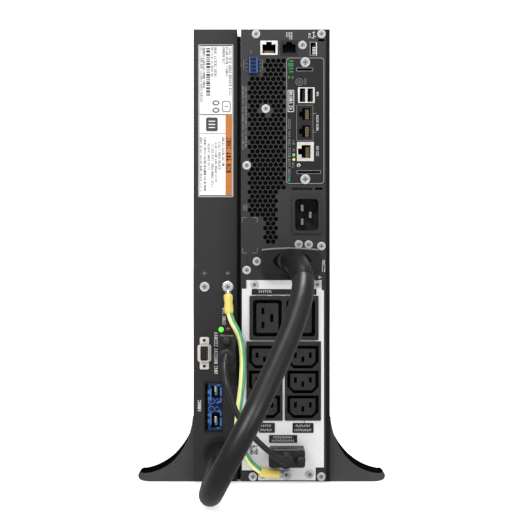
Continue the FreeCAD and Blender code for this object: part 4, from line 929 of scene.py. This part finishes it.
def data_port_pins():
    """The data port's flange, shell and insulator with its three rows of pin holes, and its two standoffs."""
    pins = Piece("data_port_pins", "bright_metal", "flange_tin", "dark_plastic", "recess_metal")
    x, z = -54.7, 124.5
    mouth = rounded_rect(x, z, 7.9, 13.9, 1.6)
    pins.frame(rounded_rect(x, z, 13, 16.6, 2.2), mouth, 1.8, 0.9, "flange_tin")
    pins.frame(rounded_rect(x, z, 8.9, 14.9, 2), mouth, 5.5, 4, "flange_tin")
    pins.prism(rounded_rect(x, z, 7.6, 13.6, 1.2), 3.4, 2.2, "dark_plastic")
    for side in (-1, 1):
        ear = z + side * 11.7
        pins.prism(rounded_rect(x, ear, 8.8, 7.4, 1.4), 1.75, 0.8, "flange_tin")
        nut = ear + side * 0.6
        pins.frame(circle(x, nut, 2.6, 24), circle(x, nut, 1.6, 24), 3.2, 1.6, "flange_tin")
        pins.prism(circle(x, nut, 1.5, 24), 1.9, 0.4, "dark_plastic")
    # pin holes: small dark metal discs, painted shade
    for column in range(3):
        for row in range(5):
            pins.lathe(x + (column - 1) * 1.95, z + (row - 2) * 2.35 + (column % 2) * 1.15 - 0.4,
                       [(0.62, 3.45), (0.55, 3.6), (0.3, 3.6)], "recess_metal", 10)
    pins.finish(0.15)


def dc_socket_detail():
    """The keyed blue faces, wells painted navy as shade, and latch rings of the battery connector."""
    wells = Piece("off_plug_wells", "blue_plastic", "navy_plastic", "blue_edge", body="off_plug")
    for i in range(4):
        # painted shade: the wells are flat navy bars
        wells.bar(-7.9, 399.2 + (i - 1.5) * 3.5, 5, 2.5, 5.43, 0.2, "navy_plastic", 0.3)
    for side in (-1, 1):
        wells.bar(-7.9 + side * 3.5, 399.2, 0.5, 14.6, 5.5, 0.3, "blue_edge")
    wells.finish()

    insert = Piece("dc_socket_detail", "blue_plastic", "navy_plastic", "blue_edge")
    face = -1.4
    # the insert's base behind the raised blue parts, in navy as painted shade
    insert.prism(rounded_rect(-43.2, 74.6, 9.8, 15.4, 0.6), face + 0.25, 0.6, "navy_plastic")
    for z in (78.4, 70.8):
        for x, outer, inner, proud, depth in ((-48.2, 3.1, 2.4, 0.8, 1.2), (-42.6, 2.3, 1.8, 0.5, 0.8)):
            insert.frame(circle(x, z, outer, 24), circle(x, z, inner, 24), face + proud, depth, "blue_edge")
    for side in (-1, 1):
        middle = 73.2 + side * 12.4
        for x, rise, width, height, proud, depth in (
                (-50, 1.5, 3, 3.4, 1.2, 1.6), (-50, -4.6, 3, 2.4, 1.2, 1.6), (-48.7, -1.2, 1.5, 12, 1.4, 1.8),
                (-38.9, 0, 1.7, 16.8, 1.0, 1.6), (-40.4, 7.9, 4.6, 1.5, 1.0, 1.6),
                (-40.4, -7.9, 4.6, 1.5, 1.0, 1.6)):
            insert.bar(x, middle + side * rise, width, height, face + proud, depth, "blue_edge")
    for z in (92.8, 82.6, 63.8, 53.6):
        insert.bar(-39.2, z, 2.8, 1.9, face + 1.3, 1.4, "navy_plastic")
    insert.finish(0.2)

    contacts = Piece("dc_contacts", "bright_metal", "bright")
    for side in (-1, 1):
        contacts.bar(-44.3, 75.3 + side * 14.7, 2.1, 6.2, -3.4, 4, "bright")
    contacts.finish(0.3)


# ---- plugs and cord ends
def cord_end(piece, route, from_start, length, thick, thin, look, ribs, groove):
    """A tapered, ribbed strain relief round one end of a cord."""
    points = route_line(route)
    if not from_start:
        points = points[::-1]
    profile = [(0, thick * 0.96), (0.02, thick)]
    step = 0.86 / ribs
    for i in range(ribs):
        share = 0.1 + step * i
        radius = thick + (thin - thick) * share
        profile += [(share, radius), (share + step * 0.16, radius * (1 - groove)),
                    (share + step * 0.4, radius * (1 - groove)), (share + step * 0.56, radius)]
    profile += [(0.985, thin), (1, thin * 0.93)]
    piece.sleeve(stretch(points, length * MM), profile, look)


def plug_trim():
    """Boots, one lengthened as painted shade, a flared recess painted near-black as shade, a collar and a
    painted highlight along the top of the DC plug; knobs, rings and painted highlights on the signal plugs.
    """
    trim = Piece("dc_plug_trim", "black_plastic", "boot_rubber", "foam", "ridge", "outlet_plastic")
    # painted shade: the flared recess round the cable boss is a flat near-black patch
    almond = []
    for turn in turns(32):
        rise = math.sin(turn)
        almond.append((28.5 + 18.1 * math.cos(turn), 212.5 + 10 * rise * abs(rise) ** 0.4))
    trim.prism(almond, 24.1, 0.3, "foam")
    trim.lathe(28.6, 212.4, [(13.9, 24.12), (13.7, 24.5), (13.1, 24.5), (12.9, 24.15)], "outlet_plastic", 48,
               squash=0.74)
    # painted highlight: a lighter strip along the top of the plug
    arc = [(0.1, 222.5, 1.3), (12, 223.5, 1.4), (26.8, 224.1, 1.4), (42, 223.5, 1.4), (53.5, 222.5, 1.3)]
    ridge = [(x, z) for x, z, _ in arc] + [(x, z + rise) for x, z, rise in reversed(arc)]
    trim.prism(ridge, 24.6, 22, "ridge")
    for x in (-0.2, 53.9):
        trim.bar(x, 212, 0.8, 19.5, 20, 19, "outlet_plastic", 0.3)
    # a real strain relief, lengthened to 60 mm in darker matte rubber as painted shade over the top of the
    # bend
    cord_end(trim, DC_ROUTE, True, 60, 10.9, 10.08, "boot_rubber", 3, 0.01)
    cord_end(trim, DC_ROUTE, False, 26, 12.6, 10.3, "boot_rubber", 4, 0.06)
    trim.finish()

    signal = Piece("comm_plug_trim", "black_plastic", "black_plastic", "thin_jacket", "dark_plastic", "ridge")
    for x, z, knob_x, knob_z in ((-33, 124.2, -33, 137.8), (22.8, 26.4, 36.2, 26.4)):
        signal.lathe(x, z, [(7.6, 26), (7.4, 27), (6.7, 27.2), (6.6, 38), (6, 38.4), (3.4, 38.4)],
                     "black_plastic", 40)
        signal.lathe(knob_x, knob_z, [(3.9, 26.1), (3.9, 30.6), (3.4, 31.4), (1, 31.4)], "black_plastic", 72,
                     lobes=18, depth=0.035)
        signal.lathe(knob_x, knob_z, [(4.8, 26.06), (4.6, 26.3), (4.1, 26.3)], "dark_plastic", 40)
    # painted highlights: lighter strips along the tops of the signal plugs
    signal.bar(23.4, 35.9, 24, 0.7, 26.25, 0.6, "ridge", 0.3)
    signal.bar(-33, 142.6, 12, 0.6, 26.2, 0.6, "ridge", 0.25)
    cord_end(signal, COMM_ROUTE, True, 9, 3.5, 2.95, "thin_jacket", 2, 0.08)
    cord_end(signal, COMM_ROUTE, False, 17, 4.2, 2.95, "thin_jacket", 5, 0.12)
    signal.finish()


RING = ((5.4, 0), (5.4, 0.9), (5.1, 1.1), (2.6, 1.1), (2.4, 0.8))
CRIMP = ((0, 3.4), (0.03, 4.1), (0.1, 4.35), (0.28, 4.35), (0.34, 3.95), (0.5, 3.9), (0.56, 4.3), (0.9, 4.35),
         (0.97, 4.2), (1, 3.5))


def ground_terminals():
    """Tinned ring terminals with crimped yellow sleeves, in place of the plain ones."""
    lugs = Piece("ground_terminals", "lug_metal", "bright", "yellow_sleeve")
    for x, z, face, end in ((-32.4, 187.9, 0, GROUND_ROUTE[0]), (23.7, 8.7, 0.8, GROUND_ROUTE[-1])):
        centre = spot(x, face + 0.6, z)
        tip = spot(*end)
        toward = (tip - centre).normalized()
        lugs.lathe(x, z, scaled(RING, 1, face), "bright", 40)
        neck = [centre + toward * 0.0042, centre + toward * 0.0084]
        lugs.sleeve(neck, [(0, 3.1), (0.5, 2.9), (1, 3.1)], "bright")
        lugs.sleeve([centre + toward * 0.0076, tip + toward * 0.003], CRIMP, "yellow_sleeve", 32)
    lugs.finish(replaces="ground_lugs")


def grommet_rings():
    rings = Piece("grommet_rings", "black_plastic", "dark_plastic")
    for outer, inner, reach in ((15.4, 14.8, 1.9), (13.9, 13.3, 1.95), (12, 11.4, 3.5)):
        rings.frame(circle(-39.7, 29, outer, 48), circle(-39.7, 29, inner, 48), reach, 0.5, "dark_plastic")
    rings.finish()


# ---- panels behind and around
VENT_OUTLINE = [
    (0.7, 228.2), (16.4, 228.2), (16.4, 280.1), (23.4, 280.1), (23.4, 406.6), (0.7, 406.6), (0.7, 389.4),
    (-14.4, 389.4), (-14.4, 254.2), (0.7, 254.2),
]


def black_bars(name, body, bars):
    """Black sheets, as bars of (x, z, width, height, reach, depth): dust screens, and painted shade in a gap.
    """
    sheet = Piece(name, "rotor_plastic", "foam", body=body)
    for bar in bars:
        sheet.bar(*bar, "foam")
    sheet.finish()


def screens():
    """Dust screens behind the vent and the louvres, and a black strip of painted shade in the gap between the
    two units.
    """
    vent = Piece("vent_screen", "rotor_plastic", "foam")
    vent.prism(VENT_OUTLINE, -2.2, 1.0, "foam")
    vent.finish()
    # painted shade: a black strip in the gap between the two units
    black_bars("gap_shade", CHASSIS, [(-21.65, 217, 3.2, 421, -1.5, 10)])
    behind = (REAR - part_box("ups_bezel")[1][1]) / MM + 5.5
    black_bars("ups_front_screen", "bezel",
              [(22.65, z, 66, height, behind, 1) for z, height in ((136, 240), (384.5, 79))])
    black_bars("pack_front_screen", "pack_front", [(-44.3, 218, 31, 404, behind, 1)])


# (radius, height above the cover)
SIDE_SCREW = ((3.4, -0.3), (3.4, 0.12), (3.1, 0.18), (1.5, 0.18), (1.3, -0.2))


def side_screws():
    """Countersunk screws along the top and bottom edges of both covers."""
    for name, x, outward in (("ups_side_screws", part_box("ups_cover")[1][0], 1),
                             ("pack_side_screws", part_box("pack_tray")[0][0], -1)):
        heads = Piece(name, "bright_metal", "bright")
        for y in (-0.255, -0.12, 0.02, 0.155, 0.24):
            for z in (0.075, 0.418):
                heads.skin([[Vector((x + outward * out * MM, y + radius * MM * math.cos(turn),
                                     z + radius * MM * math.sin(turn))) for turn in turns(24)]
                            for radius, out in SIDE_SCREW], "bright")
        heads.finish()


def front_detail():
    """A plain status page on the display: four bars and a rising row of five."""
    low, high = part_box("display_screen")
    across = (low[0] + high[0]) / 2 / MM
    up = (low[2] + high[2]) / 2 / MM
    out = (REAR - high[1]) / MM + 0.02
    page = Piece("display_page", "screen", "lamp_page", "lamp_green", body="display")
    for i, width in enumerate((22, 15, 18, 9)):
        page.bar(across - 16 + width / 2, up + 7.5 - i * 4.6, width, 1.5, out, 0.06, "lamp_page")
    for i in range(5):
        page.bar(across + 7 + i * 2.9, up - 6 + i * 1.3, 1.9, 4 + i * 2.6, out, 0.06,
                 "lamp_green" if i < 4 else "lamp_page")
    page.finish()


# How far each CAD node's edges are rounded, in millimetres.
CAD_EDGES = {
    1.1: ["rear_feet"], 1.0: ["dc_plug", "front_feet"], 0.7: ["comm_plugs"],
    0.5: ["ups_tray", "ups_cover", "pack_tray", "pack_cover", "power_button", "display_housing"],
    0.4: ["up_button", "down_button", "enter_button", "escape_button"],
    0.35: ["c19_outlet_block", "c20_inlet"], 0.3: ["c13_outlet_blocks", "epo_plug"], 0.25: ["card_faceplate"],
    0.2: ["outlet_panel", "shielded_jack", "serial_jack", "card_network_jack"], 0.15: ["card_usb_ports"],
}

panel_marks()
pack_marks()
pack_label()
outlet_labels()
card_marks()
screw_heads("ups_screw_heads", UPS_SCREWS, SMALL_HEAD, CHASSIS, "ups_screws")
screw_heads("pack_screw_heads", PACK_SCREWS, LARGE_HEAD, CHASSIS, "pack_screws")
screw_heads("card_screw_heads", CARD_SCREWS, LARGE_HEAD, CARD, "card_screws", slotted=True)
lamps()
jack_contacts()
data_port_pins()
dc_socket_detail()
plug_trim()
ground_terminals()
grommet_rings()
screens()
side_screws()
front_detail()
for rounding, nodes in CAD_EDGES.items():
    for node in nodes:
        soften(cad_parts[node], rounding)


# ---- light and floor
AMBIENT = 0.42
FLOOR_GLOW = 0.72
WHITE = (1, 1, 1)
LIGHTS = (
    # name, place, target, size, power
    ("key", (-0.7, -2.4, 1.5), (0, REAR, 0.2), (1.2, 0.9), 34),
    ("fill", (1.3, -2.2, 0.9), (0, REAR, 0.2), (1.0, 1.0), 12),
    ("top", (0.1, -0.52, 2.2), (0, -0.38, 0.2), (0.9, 0.5), 30),
    ("front", (0.6, 2.4, 2.0), (0, 0.3, 0.2), (1.2, 0.9), 26),
)


def area_light(name, place, target, size, power):
    data = bpy.data.lights.new(name, "AREA")
    data.shape = "RECTANGLE"
    data.size, data.size_y = size
    data.energy = power
    item = add(name, data)
    item.location = place
    item.rotation_euler = (Vector(target) - Vector(place)).to_track_quat("-Z", "Y").to_euler()


def stage_mesh(name, build, shader):
    mesh = bpy.data.meshes.new(name)
    build.to_mesh(mesh)
    build.free()
    mesh.materials.append(shader.material)
    item = add(name, mesh)
    return item


def studio():
    """Soft light on the rear, the front and the top, on a pale floor inside a white surround."""
    world = bpy.data.worlds.new("studio")
    world.use_nodes = True
    bpy.context.scene.world = world
    backdrop = world.node_tree.nodes["Background"]
    backdrop.inputs["Color"].default_value = (*WHITE, 1)
    backdrop.inputs["Strength"].default_value = AMBIENT
    for light in LIGHTS:
        area_light(*light)

    ground = bmesh.new()
    bmesh.ops.create_circle(ground, cap_ends=True, radius=30, segments=96)
    paint = Shader("floor_paint", 0.8, specular=0.05)
    paint.colour(paint.ramp(paint.noise(3, 4), (0.78, 0.78, 0.78), (0.82, 0.82, 0.82)))
    paint.bump(paint.noise(60, 3), 0.0002, 0.1)
    paint.glow(WHITE, FLOOR_GLOW)
    floor = stage_mesh("floor", ground, paint)
    floor.location = (0, 0, -0.0002)
    floor.visible_glossy = False

    dome = bmesh.new()
    bmesh.ops.create_uvsphere(dome, u_segments=48, v_segments=24, radius=32)
    white = Shader("surround_white", 1.0, specular=0.0)
    white.colour(white.ramp(white.noise(1, 2), (0.85, 0.85, 0.85), (0.9, 0.9, 0.9)))
    white.glow(WHITE, 1.0)
    surround = stage_mesh("surround", dome, white)
    surround.visible_diffuse = False
    surround.visible_glossy = False
    surround.visible_transmission = False
    surround.visible_shadow = False


studio()
bpy.context.scene.view_settings.view_transform = "Standard"
